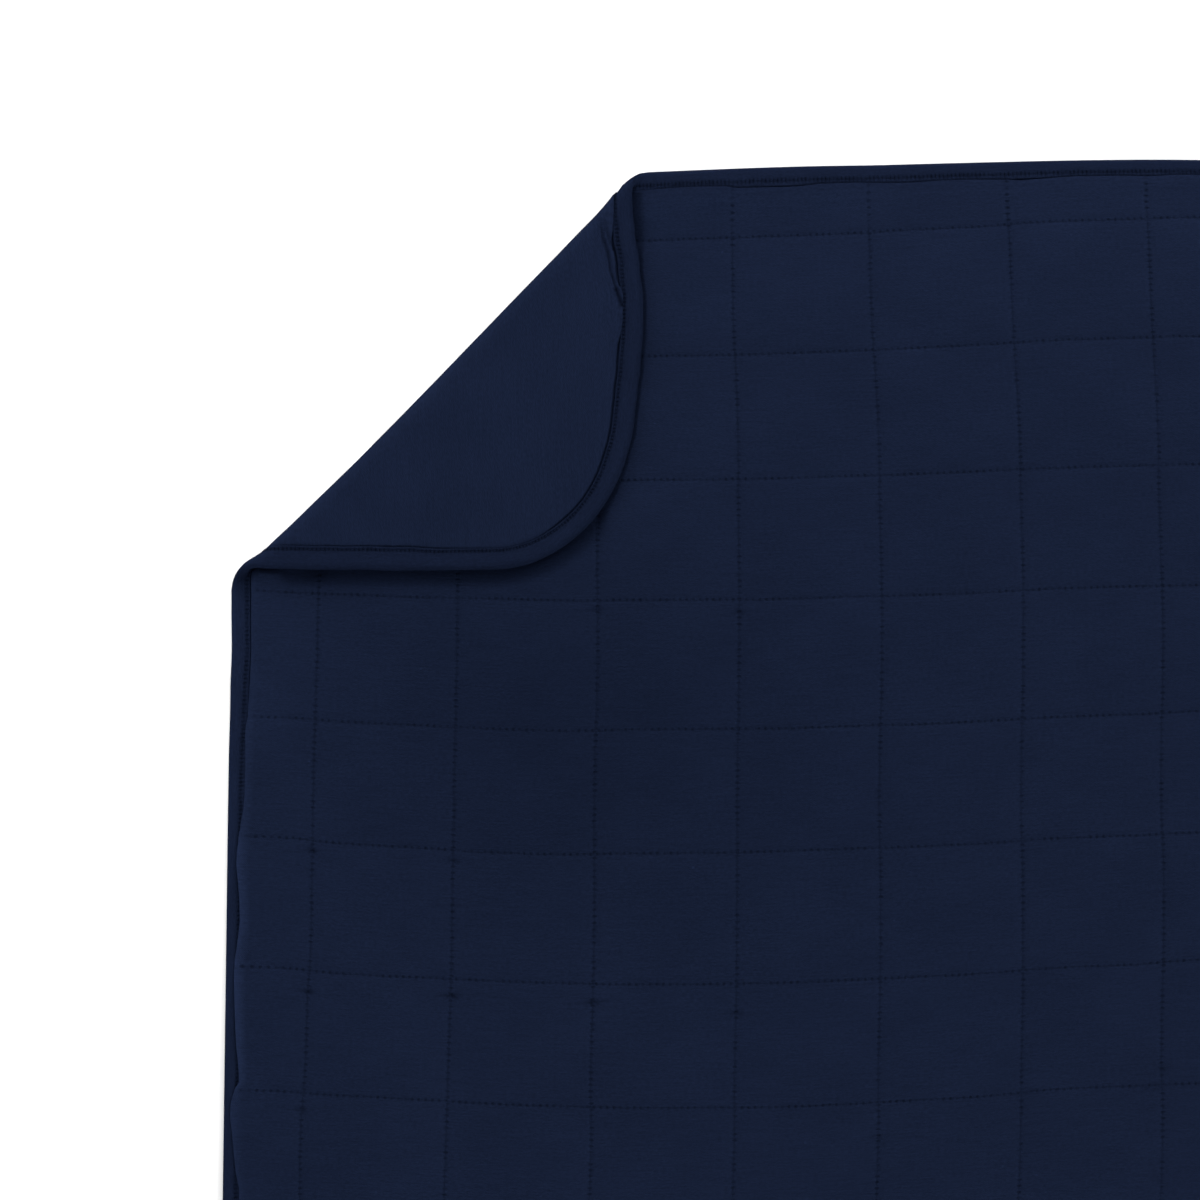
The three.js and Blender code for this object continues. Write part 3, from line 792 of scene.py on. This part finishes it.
def back_grid():
    """Lines across the crease and along it, closer at the bend and at the pleats, and the grid's turn."""
    far = -np.geomspace(21, 2000, 34)
    bend = np.arange(-18, 15, 1.5)
    creased = np.arange(15, 66, 0.9)
    flap = np.arange(68, 190, 4.5)
    across = distinct(np.concatenate([far, bend, creased, flap, [200]]) + CREASE)
    first, last = PLEATS_ALONG
    plain = np.arange(-FLAP_ALONG, FLAP_ALONG + 1, 4.5)
    plain = plain[np.abs(plain - (first + last) / 2) > (last - first) / 2 + 1]
    outside = np.geomspace(FLAP_ALONG + 8, 2000, 30)
    along = distinct(-np.concatenate([-outside, plain, np.arange(first, last, 0.9), outside]) - CREASE_CENTRE)
    return across, along, math.atan2(ACROSS[1], ACROSS[0])


def back_cloth():
    """The plain back, which shows on the folded corner."""
    rings = rings_of(BACK_EDGE, BACK_INNER, [11, 7.5, PANEL_EDGE])
    x, y, inset, quads, border = grid_mesh(*back_grid(), BACK_INNER, rings)
    count = len(x)
    dx, dy = outward(x, y)
    section = {key: from_table(BACK_EDGE, "inset", key, inset, eased=False) for key in ("up", "out", "swell")}
    in_binding = inset < BINDING_ON_BACK
    wider = leg_wider(x, y, 1) * fade(inset, 18, 14) * fade(inset, 7, 11)
    over = from_table(FLAP_BULGE, "x", "out", x) * fade(dy, 0.75, 1) * (x < 0)
    shift = over * section["out"] * ~in_binding
    out_x, out_y = x + dx * (shift - wider), y + dy * (shift - wider)
    x, y = x - dx * wider, y - dy * wider
    beyond = beyond_bend(x, y)
    least = np.where(inset > BACK_EDGE["inset"][0], LEFT_AT_SIDES[1], LEFT_AT_SIDES[0])
    lift = np.where(in_binding, RISE_IN_BINDING, section["up"] * (least + (1 - least) * dy * dy))
    under = lift + FLOOR - section["swell"] * np.clip(over, 0, 1) * fade(beyond, 0, 7)
    top = np.maximum(lift, 0) - GAP / 2

    spots = lay(out_x, out_y, under)
    on_flap = fade(beyond, *FLAP_FROM)
    height, painted_shade_core = np.zeros(count), np.zeros(count)
    # Painted shade along the pleats, besides their lift
    for half, crease_lift, dark, path in FLAP_CREASES.values():
        away = away_from_path(spots[:, 0], spots[:, 1], [place_on_photo(*spot) for spot in path])
        height += crease_lift * np.exp(-((away / half) ** 2))
        painted_shade_core = np.maximum(painted_shade_core, dark * np.exp(-((away / (0.8 * half)) ** 2)))
    height = on_flap * (height + FLAP_UNEVEN * unevenness(x, y, 90, seed=31))
    places = np.concatenate([lay(out_x, out_y, under - height), lay(x, y, top - height)])
    pattern = np.concatenate([np.stack([x, y, np.zeros(count)], -1)] * 2)
    # Painted shade in that crevice and along the pleats
    crevice_shade = fade(inset, *TUCKED_INSET) * np.clip(dy, 0, 1) ** 2
    shade = np.concatenate([np.clip(painted_shade_core * on_flap + crevice_shade * TUCKED_PAINTED_SHADE, 0, 1), np.zeros(count)])
    faces = closed_sheet(quads, border, count)[:, ::-1]
    return make_object("back_cloth", places, faces.tolist(), pattern, shade=shade)


def binding_section():
    """The strip's section, as rows of the inset and the height.

    First comes its outside, from the back's edge to the face's, and then its inside."""
    top, low, steps = BINDING_TOP, BINDING_TOP - BINDING, 8
    on_back, on_face = STITCHED_ON_BACK, STITCHED_ON_FACE
    dips = (
        (1.4, 0.12), (0.9, 0.2), (0.45, 0.42), (0, BACK_GROOVE), (-0.45, 0.5), (-1.1, 0.32), (-2, 0.18),
        (-3.2, 0.06), (-4.5, 0),
    )
    outer = [(BINDING_ON_BACK, FLOOR + 0.6), (BINDING_ON_BACK - 0.3, FLOOR + 0.2)]
    outer +=[(on_back + along, FLOOR + up) for along, up in dips]
    half, middle = (top - FLOOR) / 2, (top + FLOOR) / 2
    for k in range(steps + 1):
        depth = 4.0 if k < steps / 2 else 2.4
        angle = math.pi * k / steps
        outer.append((depth * (1 - math.sin(angle)), middle - half * math.cos(angle)))
    outer += [(4.6, top - 0.08), (on_face - 2, top - 0.3), (on_face - 0.8, top - 0.6)]
    outer += [(on_face, top - FACE_GROOVE), (on_face + 0.8, top - 0.6)]
    outer += [(BINDING_ON_FACE - 0.7, top - 0.5), (BINDING_ON_FACE - 0.1, top - 0.7)]
    inner = [(BINDING_ON_FACE, top - 1.1), (on_face + 1, top - 1.3), (on_face, top - 1.45)]
    inner += [(on_face - 1.6, low - 0.4), (4.6, low), (2.6, low - 0.2), (1.5, middle + 0.6), (1.1, middle)]
    inner += [(1.6, FLOOR + 1.4), (3.8, FLOOR + BINDING), (on_back - 1.5, FLOOR + BINDING)]
    inner += [(on_back, FLOOR + 0.95), (on_back + 1, FLOOR + 0.8), (BINDING_ON_BACK - 0.3, FLOOR + 0.75)]
    return outer, inner


def bend_places():
    """Where the outline crosses the bend, as distances along it."""
    t = np.arange(0, PERIMETER, 1.0)
    place, _ = outline_at(t)
    beyond = beyond_bend(place[:, 0], place[:, 1])
    return t[(beyond > -10) & (beyond < 30)]


def leg_wider(x, y, at_edge):
    """How much further in the back leg's stitching lies than usual, or its edge where at_edge is 1."""
    wider = (LEG_WIDER + LEG_EDGE_WIDER * at_edge) * fade(y, *LEG_WIDER_Y)
    narrower = (LEG_NARROWER + LEG_EDGE_NARROWER * at_edge) * fade(x, *LEG_NARROWER_X)
    return wider - narrower * fade(y, *LEG_NARROWER_Y)


def strip_shift(inset, x, y, out, on_face):
    """How far a part of the strip is moved inwards, since its width and its stitching vary along the edge."""
    stitched = np.where(out[..., 0] < -0.5, from_table(LEFT_STITCHED, "y", "in", y), 0)
    stitched = (stitched - STITCHED_NEARER * out[..., 1] ** 2) * fade(inset, 2, 6) * fade(inset, 11, 9)
    at_edge = fade(inset - STITCHED_ON_BACK, 0.5, 1.3)
    return np.where(on_face, stitched, leg_wider(x, y, at_edge) * fade(inset, 5, 9))


def shallower(dip, out):
    """How much higher the groove's dips lie on the face at the top and bottom."""
    return GROOVE_SHALLOWER * out[..., 1] ** 2 * dip


def binding_shade(inset, on_face, y, out):
    """The painted shade on the strip, in its grooves, beside them, round its edge and in the notch under the
    flap, and its even darkening on the back half.
    """
    from_groove = np.where(on_face, np.abs(inset - STITCHED_ON_FACE), np.abs(inset - STITCHED_ON_BACK))
    beside, groove = (np.exp(-((from_groove / width) ** 2)) for width in (BESIDE_WIDTH, GROOVE_WIDTH))
    round_edge = np.clip(1 - inset / ROUND_WIDTH, 0, 1)
    at_top, at_left = out[..., 1] ** 2, out[..., 0] < -0.5
    notch = at_left * np.exp(-(((y - NOTCH_Y) / NOTCH_WIDTH) ** 2))
    on_back = BACK_SHADE["all"] + BACK_SHADE["beside"] * beside + BACK_SHADE["groove"] * groove
    on_back = on_back + BACK_SHADE["round"] * round_edge
    seam = FACE_SHADE["beside"] * beside * (1 - LESS_BESIDE_AT_TOP * at_top) + FACE_SHADE["groove"] * groove
    seam = seam * (1 - LESS_AT_LEFT * at_left)
    seam = seam + FACE_SHADE["round_at_top"] * at_top * round_edge + FACE_SHADE["notch"] * notch
    return np.where(on_face, seam, on_back)


def binding_strip():
    """The binding, with a groove where each side is stitched down."""
    outer, inner = binding_section()
    inset, up = np.array(outer + inner).T
    evenly = np.linspace(0, PERIMETER, STATIONS, endpoint=False)
    stations = np.array(distinct(np.concatenate([evenly, bend_places()])))
    place, out = outline_at(stations)
    n, m = len(stations), len(inset)
    place_x, place_y, out = place[:, 0][:, None], place[:, 1][:, None], out[:, None, :]
    on_face = up > (BINDING_TOP + FLOOR) / 2
    moved = inset + strip_shift(inset, place_x, place_y, out, on_face)
    x, y = place_x - out[..., 0] * moved, place_y - out[..., 1] * moved
    ripple = RIPPLE * unevenness(stations[:, None] * np.ones(m), inset * 0.4 + np.zeros((n, 1)), 9, seed=41)
    dip = (BINDING_TOP - up) * (np.arange(m) < len(outer)) * on_face * fade(inset, 4, 5)
    height = up + ripple * on_face * fade(inset, 0, 3) + shallower(dip, out)
    points = lay(x, y, height).reshape(-1, 3)
    signed = np.where(on_face, inset, -inset)
    pattern = np.stack(np.broadcast_arrays(stations[:, None], signed, 0.0), axis=-1).reshape(-1, 3)
    # How far in from the face's bulging front, for the painted shade beside it
    front = np.minimum(BULGE_FOOT - bulge(place_x, place_y), BINDING_ON_FACE + 0.05)
    from_bulge = np.where(on_face & ~(out[..., 0] < -0.5), front - moved, 99)
    marks = {"shade": binding_shade(inset, on_face, place_y, out).ravel(), "from_bulge": from_bulge.ravel()}
    index = np.arange(n * m).reshape(n, m)
    ahead = np.roll(index, -1, axis=0)
    quads = np.stack([index, ahead, np.roll(ahead, -1, axis=1), np.roll(index, -1, axis=1)], axis=-1)
    return make_object("binding_strip", points, quads.reshape(-1, 4).tolist(), pattern, **marks)


def stitches(name, starts, ends, heights, side):
    """Short threads that lie on the cloth, each from one needle hole to the next. side is 1 on the face."""
    way = ends - starts
    along = way / np.linalg.norm(way, axis=1, keepdims=True)
    aside = np.stack([-along[:, 1], along[:, 0]], axis=-1)
    middle_rings = ((0.2, 0.0, 0.85), (0.5, 0.08, 1.0), (0.8, 0.0, 0.85))
    corners = ((1, 0), (0, 1), (-1, 0), (0, -1))
    flat = [starts + way * 0.02]
    up = [heights[:, 0] - side * THREAD_SUNK]
    for share, lift, wide in middle_rings:
        level = heights[:, 0] + (heights[:, 1] - heights[:, 0]) * share
        for across, above in corners:
            flat.append(starts + way * share + aside * across * wide * THREAD_RADIUS)
            up.append(level + side * (lift + above * wide * THREAD_RADIUS))
    flat.append(starts + way * 0.98)
    up.append(heights[:, 1] - side * THREAD_SUNK)
    flat = np.stack(flat, axis=1)
    points = lay(flat[..., 0], flat[..., 1], np.stack(up, axis=1)).reshape(-1, 3)
    pattern = np.concatenate([flat, np.zeros((*flat.shape[:2], 1))], axis=-1).reshape(-1, 3)
    last = 1 + 4 * len(middle_rings)
    faces = [(0, 1 + (k + 1) % 4, 1 + k) for k in range(4)]
    for base in range(1, last - 4, 4):
        for k in range(4):
            j = (k + 1) % 4
            faces.append((base + k, base + j, base + 4 + j, base + 4 + k))
    faces += [(last - 4 + k, last - 4 + (k + 1) % 4, last) for k in range(4)]
    if side < 0:
        faces = [face[::-1] for face in faces]
    every = [tuple(v + k * (last + 1) for v in face) for k in range(len(starts)) for face in faces]
    return make_object(name, points, every, pattern)


def line_stitches(name, lines, pitch, along_x):
    """Quilting stitches along straight seams of the pattern."""
    half = (WIDTH if along_x else LENGTH) / 2
    t = np.arange(-half, half, pitch)
    starts, ends = [], []
    for line in lines:
        level = np.full(len(t), float(line))
        pair = [(t, level), (t + pitch, level)] if along_x else [(level, t), (level, t + pitch)]
        a, b = (np.stack(p, axis=-1) for p in pair)
        shown = (inset_of(a[:, 0], a[:, 1]) > QUILTING_CLEAR) & (inset_of(b[:, 0], b[:, 1]) > QUILTING_CLEAR)
        starts.append(a[shown])
        ends.append(b[shown])
    starts, ends = np.concatenate(starts), np.concatenate(ends)
    heights = np.stack([face_top(a[:, 0], a[:, 1]) for a in (starts, ends)], axis=-1)
    return stitches(name, starts, ends, heights, 1)


def edge_stitches(name, inset, height, side):
    """The stitching along the binding."""
    count = round(PERIMETER / EDGE_STITCH)
    t = np.arange(count + 1) * PERIMETER / count
    place, out = outline_at(t)
    spots = place - out * (inset + strip_shift(inset, place[:, 0], place[:, 1], out, side > 0))[:, None]
    raised = height + (side > 0) * shallower(BINDING_TOP - height, out)
    return stitches(name, spots[:-1], spots[1:], np.stack([raised[:-1], raised[1:]], axis=-1), side)


class Nodes:
    """A material's nodes, made one by one. A value is a number, a tuple or another node's output."""

    def __init__(self, name):
        self.material = bpy.data.materials.new(name)
        self.material.use_nodes = True
        self.tree = self.material.node_tree
        self.tree.nodes.clear()

    def put(self, socket, value):
        if isinstance(value, bpy.types.NodeSocket):
            self.tree.links.new(value, socket)
        else:
            socket.default_value = value

    def node(self, kind, inputs=(), **settings):
        made = self.tree.nodes.new(kind)
        for key, value in settings.items():
            setattr(made, key, value)
        for key, value in dict(inputs).items():
            self.put(made.inputs[key], value)
        return made

    def math(self, operation, *values):
        return self.node("ShaderNodeMath", enumerate(values), operation=operation).outputs[0]

    def attribute(self, name, output="Vector"):
        return self.node("ShaderNodeAttribute", attribute_name=name).outputs[output]

    def stretched(self, vector, scale):
        """A vector with each of its parts multiplied."""
        return self.node("ShaderNodeVectorMath", {0: vector, 1: scale}, operation="MULTIPLY").outputs[0]

    def tinted(self, colour, tone):
        return self.node("ShaderNodeVectorMath", {0: colour, "Scale": tone}, operation="SCALE").outputs[0]

    def noise(self, vector, detail=2.0, roughness=0.5):
        inputs = {"Vector": vector, "Scale": 1.0, "Detail": detail, "Roughness": roughness}
        return self.node("ShaderNodeTexNoise", inputs).outputs["Fac"]

    def ramp(self, value, low, high, to_low=0.0, to_high=1.0):
        """A value between two levels, carried smoothly to two others."""
        inputs = {"Value": value, "From Min": low, "From Max": high, "To Min": to_low, "To Max": to_high}
        return self.node("ShaderNodeMapRange", inputs, interpolation_type="SMOOTHSTEP").outputs[0]

    def parts(self, vector):
        split = self.node("ShaderNodeSeparateXYZ", {0: vector})
        return split.outputs[0], split.outputs[1], split.outputs[2]

    def squares(self, *pairs):
        """The sum of the squares of values, each first divided by its width."""
        total = 0.0
        for value, width in pairs:
            share = self.math("DIVIDE", value, width)
            total = self.math("MULTIPLY_ADD", share, share, total)
        return total

    def hill(self, *pairs):
        """A soft hill, 1 at its top."""
        return self.math("EXPONENT", self.math("MULTIPLY", self.squares(*pairs), -1.0))

    def product(self, *values):
        total = values[0]
        for value in values[1:]:
            total = self.math("MULTIPLY", total, value)
        return total

    def finished(self, inputs):
        """The material, with its surface."""
        surface = self.node("ShaderNodeBsdfPrincipled", inputs)
        self.node("ShaderNodeOutputMaterial", {"Surface": surface.outputs[0]})
        return self.material

    def cloth(self, colour, roughness, relief, strength, distance):
        """The material, as matt cloth with a fine relief."""
        heights = {"Height": relief, "Strength": strength, "Distance": distance}
        bump = self.node("ShaderNodeBump", heights).outputs[0]
        look = {"Base Color": colour, "Roughness": roughness, "Specular IOR Level": 0.0, "Normal": bump}
        return self.finished(look)


def holes(nodes, across, along, first, pitch, stitch, radius, long=1.0):
    """Needle holes on evenly spaced seams, 1 in a hole, with the seams and the distance from them.

    A pitch of None is a single seam; long stretches the holes."""
    aside = nodes.math("SUBTRACT", across, first)
    if pitch is not None:
        aside = nodes.math("WRAP", aside, pitch / 2, -pitch / 2)
    between = nodes.math("WRAP", along, stitch / 2, -stitch / 2)
    away = nodes.math("SQRT", nodes.squares((aside, long), (between, 1.0)))
    hole = nodes.ramp(away, radius * 0.25, radius * 1.3, 1.0, 0.0)
    seam = nodes.ramp(nodes.math("ABSOLUTE", aside), 0.2, 1.3, 1.0, 0.0)
    return hole, seam, aside


def jersey(name, colour, seams):
    """Fine jersey: streaks of uneven yarn along the knit, soft blotches, specks of lint, needle holes, and
    painted shade and highlights.

    seams is a function from the nodes and the pattern to the holes, the seams and the shade."""
    nodes = Nodes(name)
    pattern = nodes.attribute("pattern")
    x, y, _ = nodes.parts(pattern)
    yarn = nodes.noise(nodes.stretched(pattern, (0.42, 1.15, 0)), 2.0, 0.6)
    streaks = nodes.noise(nodes.stretched(pattern, (0.045, 0.9, 0)), 3.0, 0.55)
    blotches = nodes.noise(nodes.stretched(pattern, (0.02, 0.026, 0)), 3.0, 0.5)
    tone = nodes.product(
        nodes.ramp(yarn, 0.28, 0.72, 0.84, 1.16),
        nodes.ramp(streaks, 0.3, 0.7, 0.93, 1.07),
        nodes.ramp(blotches, 0.3, 0.7, 0.96, 1.04),
    )
    hole, seam, shade = seams(nodes, pattern)
    # How dark each needle hole's painted shade is varies over the cloth
    hole_shade_varies = nodes.ramp(nodes.noise(nodes.stretched(pattern, (0.11, 0.11, 0))), 0.36, 0.6, 0.35, 1.0)
    hole = nodes.math("MULTIPLY", hole, hole_shade_varies)
    # Painted shade in the needle holes, along the seams and by the shade mark, then painted highlight or shade
    # on the puffed edges by the lit mark
    for detail, darker in ((hole, HOLE_DARKER), (seam, SEAM_DARKER), (shade, SHADE_DARKER)):
        tone = nodes.math("MULTIPLY", tone, nodes.math("MULTIPLY_ADD", detail, -darker, 1.0))
    tone = nodes.math("MULTIPLY", tone, nodes.math("ADD", nodes.attribute("lit", "Fac"), 1.0))

    apart = nodes.stretched(pattern, (0.045, 0.045, 0))
    fluff = nodes.node("ShaderNodeTexVoronoi", {"Vector": apart, "Scale": 1.0})
    speck = nodes.ramp(fluff.outputs["Distance"], 0.018, 0.045, 1.0, 0.0)
    chosen = nodes.ramp(nodes.parts(fluff.outputs["Color"])[0], 0.55, 0.6, 0.0, 1.0)
    tone = nodes.math("MULTIPLY_ADD", nodes.math("MULTIPLY", speck, chosen), LINT_LIGHTER, tone)

    courses = nodes.math("SINE", nodes.math("MULTIPLY", y, 2 * math.pi / COURSE))
    wales = nodes.math("SINE", nodes.math("MULTIPLY", x, 2 * math.pi / WALE))
    relief = nodes.math("ADD", nodes.product(courses, wales, 0.25), yarn)
    relief = nodes.math("MULTIPLY_ADD", hole, -1.6, relief)
    relief = nodes.math("MULTIPLY_ADD", shade, -1.5, relief)
    return nodes.cloth(nodes.tinted(colour, tone), 0.92, relief, 0.5, 0.0005)


def quilted_seams(nodes, pattern):
    """The rows' and the columns' needle holes.

    The shade is painted: shade in tucks across the columns with thin tails, the flap's shadow, and soft
    patches of shade and light."""
    x, y, from_tuck = nodes.parts(pattern)
    up_hole, up_seam, aside = holes(nodes, x, y, COLUMNS[0], COLUMN_PITCH, COLUMN_STITCH, 0.85, 1.8)
    along_hole, along_seam, _ = holes(nodes, y, x, ROW_LINES[0], ROW_PITCH, ROW_STITCH, 1.05)
    ragged = nodes.noise(nodes.stretched(pattern, (0.5, 0.5, 0)))
    wavy = nodes.math("ADD", from_tuck, nodes.ramp(ragged, 0.2, 0.8, -1.2, 1.2))
    tail = nodes.math("MULTIPLY_ADD", aside, -0.1, from_tuck)
    # Painted shade in the tucks, with thin tails, then the flap's painted shadow and the painted patches
    painted_shade_core = nodes.hill((aside, 3.8), (wavy, 1.5))
    tails = nodes.math("MULTIPLY", nodes.hill((aside, 8.0), (tail, 0.6)), 0.5)
    deep = nodes.math("MULTIPLY", nodes.attribute("shade", "Fac"), 0.75)
    shade = nodes.math("MULTIPLY", nodes.math("MAXIMUM", painted_shade_core, tails), deep)
    shade = nodes.math("MAXIMUM", shade, nodes.ramp(nodes.attribute("from_flap", "Fac"), 4.0, 12.0, 0.5, 0.0))
    # Soft patches of painted shade and light
    for middle_x, middle_y, wide, high, darker in PAINTED_LIGHT_AND_SHADE:
        across, down = nodes.math("SUBTRACT", x, middle_x), nodes.math("SUBTRACT", y, middle_y)
        shade = nodes.math("MULTIPLY_ADD", nodes.hill((across, wide), (down, high)), darker, shade)
    return nodes.math("MAXIMUM", up_hole, along_hole), nodes.math("MAXIMUM", up_seam, along_seam), shade


def no_seams(nodes, pattern):
    return 0.0, 0.0, nodes.attribute("shade", "Fac")


def edge_seams(nodes, pattern):
    """Needle holes along both sides of the binding. Its pattern is the way along it and the signed inset."""
    x, y, _ = nodes.parts(pattern)
    pitch = PERIMETER / round(PERIMETER / EDGE_STITCH)
    face_hole, face_seam, _ = holes(nodes, y, x, STITCHED_ON_FACE, None, pitch, 0.7, 2.4)
    back_hole, back_seam, _ = holes(nodes, y, x, -STITCHED_ON_BACK, None, pitch, 0.7, 1.8)
    hole, seam = nodes.math("MAXIMUM", face_hole, back_hole), nodes.math("MAXIMUM", face_seam, back_seam)
    # Painted shade on the strip beside the face's bulging edge
    shade_under_bulge = nodes.ramp(nodes.attribute("from_bulge", "Fac"), 0.3, 1.3, 0.5, 0.0)
    return hole, seam, nodes.math("MAXIMUM", nodes.attribute("shade", "Fac"), shade_under_bulge)


def thread(name, colour):
    """Sewing thread, with its twist."""
    nodes = Nodes(name)
    x, y, _ = nodes.parts(nodes.attribute("pattern"))
    twist = nodes.math("SINE", nodes.math("MULTIPLY", nodes.math("ADD", x, y), 2 * math.pi / TWIST))
    tone = nodes.math("MULTIPLY_ADD", twist, 0.12, 1.0)
    return nodes.cloth(nodes.tinted(colour, tone), 0.9, twist, 0.4, 0.0001)


def plain_floor():
    """A plain white floor, which glows softly past the lamps' reach so that it is as white there."""
    mesh = bpy.data.meshes.new("floor")
    half, level = 30.0, -0.0004
    corners = [(-half, -half, level), (half, -half, level), (half, half, level), (-half, half, level)]
    mesh.from_pydata(corners, [], [(0, 1, 2, 3)])
    made = bpy.data.objects.new("floor", mesh)
    bpy.context.scene.collection.objects.link(made)
    nodes = Nodes("white_floor")
    x, y, _ = nodes.parts(nodes.node("ShaderNodeTexCoord").outputs["Object"])
    glow = nodes.ramp(nodes.squares((x, 0.75), (y, 0.85)), 1.2, 1.7)
    white = {"Base Color": (0.93, 0.93, 0.93, 1), "Roughness": 0.9, "Emission Color": (1, 1, 1, 1)}
    mesh.materials.append(nodes.finished({**white, "Emission Strength": glow}))
    nodes.material.cycles.emission_sampling = "NONE"


def area_light(name, place, size, power, target=(-0.2, 0.4, 0)):
    light = bpy.data.lights.new(name, "AREA")
    light.shape = "RECTANGLE"
    light.size, light.size_y = size
    light.energy = power
    made = bpy.data.objects.new(name, light)
    made.location = place
    made.visible_camera = False
    bpy.context.scene.collection.objects.link(made)
    way = np.subtract(target, place)
    tilt, turn = math.atan2(math.hypot(way[0], way[1]), -way[2]), math.atan2(way[1], way[0]) - math.pi / 2
    made.rotation_euler = (tilt, 0, turn)


def room():
    """A room that lights the blanket dimly from all round and is white behind the floor."""
    world = bpy.data.worlds.new("room")
    world.use_nodes = True
    tree = world.node_tree
    background = tree.nodes["Background"]
    background.inputs["Color"].default_value = (1, 1, 1, 1)
    strength = tree.nodes.new("ShaderNodeMath")
    strength.operation = "MAXIMUM"
    strength.inputs[1].default_value = 0.02
    tree.links.new(tree.nodes.new("ShaderNodeLightPath").outputs["Is Camera Ray"], strength.inputs[0])
    tree.links.new(strength.outputs[0], background.inputs["Strength"])
    bpy.context.scene.world = world


def studio():
    """Soft low light from past the top of the blanket, from its sides and from its foot."""
    bpy.context.scene.view_settings.view_transform = "Standard"
    room()
    area_light("left_light", (-0.97, 0.42, 0.1), (0.12, 0.7), 2.7, (-0.5, 0.42, 0))
    area_light("top_left_light", (-1.25, 1.5, 0.55), (0.6, 0.6), 12)
    area_light("high_left_light", (-1.0, 1.3, 1.2), (0.6, 0.6), 9)
    area_light("top_light", (-0.15, 1.9, 0.6), (1.0, 0.6), 13)
    area_light("high_top_light", (-0.15, 1.6, 1.2), (1.0, 0.6), 4)
    area_light("top_right_light", (0.9, 1.6, 0.55), (0.6, 0.6), 18)
    area_light("right_light", (1.2, 0.4, 0.45), (0.5, 1.0), 15)
    area_light("bottom_light", (-0.15, -1.0, 0.5), (1.0, 0.5), 28)


def camera():
    """Straight above the middle of the photograph, framed to its width at the cloth's level."""
    distance, cloth_level = 3.0, 0.006
    x, y = place_on_photo(PHOTO_SIZE / 2, PHOTO_SIZE / 2)
    made = bpy.data.cameras.new("camera")
    made.sensor_width = 36
    made.lens = made.sensor_width * distance / (PHOTO_SIZE * PHOTO_PIXEL * MM)
    made.clip_end = 100
    eye = bpy.data.objects.new("camera", made)
    eye.location = (x * MM, y * MM, distance + cloth_level)
    bpy.context.scene.collection.objects.link(eye)
    bpy.context.scene.camera = eye


camera()
plain_floor()
studio()

face = face_cloth()
back = back_cloth()
binding = binding_strip()
rows = line_stitches("row_stitching", ROW_LINES, ROW_STITCH, True)
columns = line_stitches("column_stitching", COLUMNS, COLUMN_STITCH, False)
face_edge = edge_stitches("edge_stitching_face", STITCHED_ON_FACE, BINDING_TOP - FACE_GROOVE, 1)
back_edge = edge_stitches("edge_stitching_back", STITCHED_ON_BACK, FLOOR + BACK_GROOVE - 0.05, -1)

face.data.materials.append(jersey("face_knit", NAVY, quilted_seams))
back.data.materials.append(jersey("back_knit", NAVY, no_seams))
binding.data.materials.append(jersey("binding_knit", BINDING_NAVY, edge_seams))
sewing = thread("sewing_thread", THREAD_NAVY)

for piece, slot in (
    (face, "face_jersey"),
    (back, "back_jersey"),
    (binding, "binding_jersey"),
    (rows, "face_jersey"),
    (columns, "face_jersey"),
    (face_edge, "binding_jersey"),
    (back_edge, "binding_jersey"),
):
    if not piece.data.materials:
        piece.data.materials.append(sewing)
    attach(piece, "root")

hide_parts("quilted_face")
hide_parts("plain_back")
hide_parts("binding")
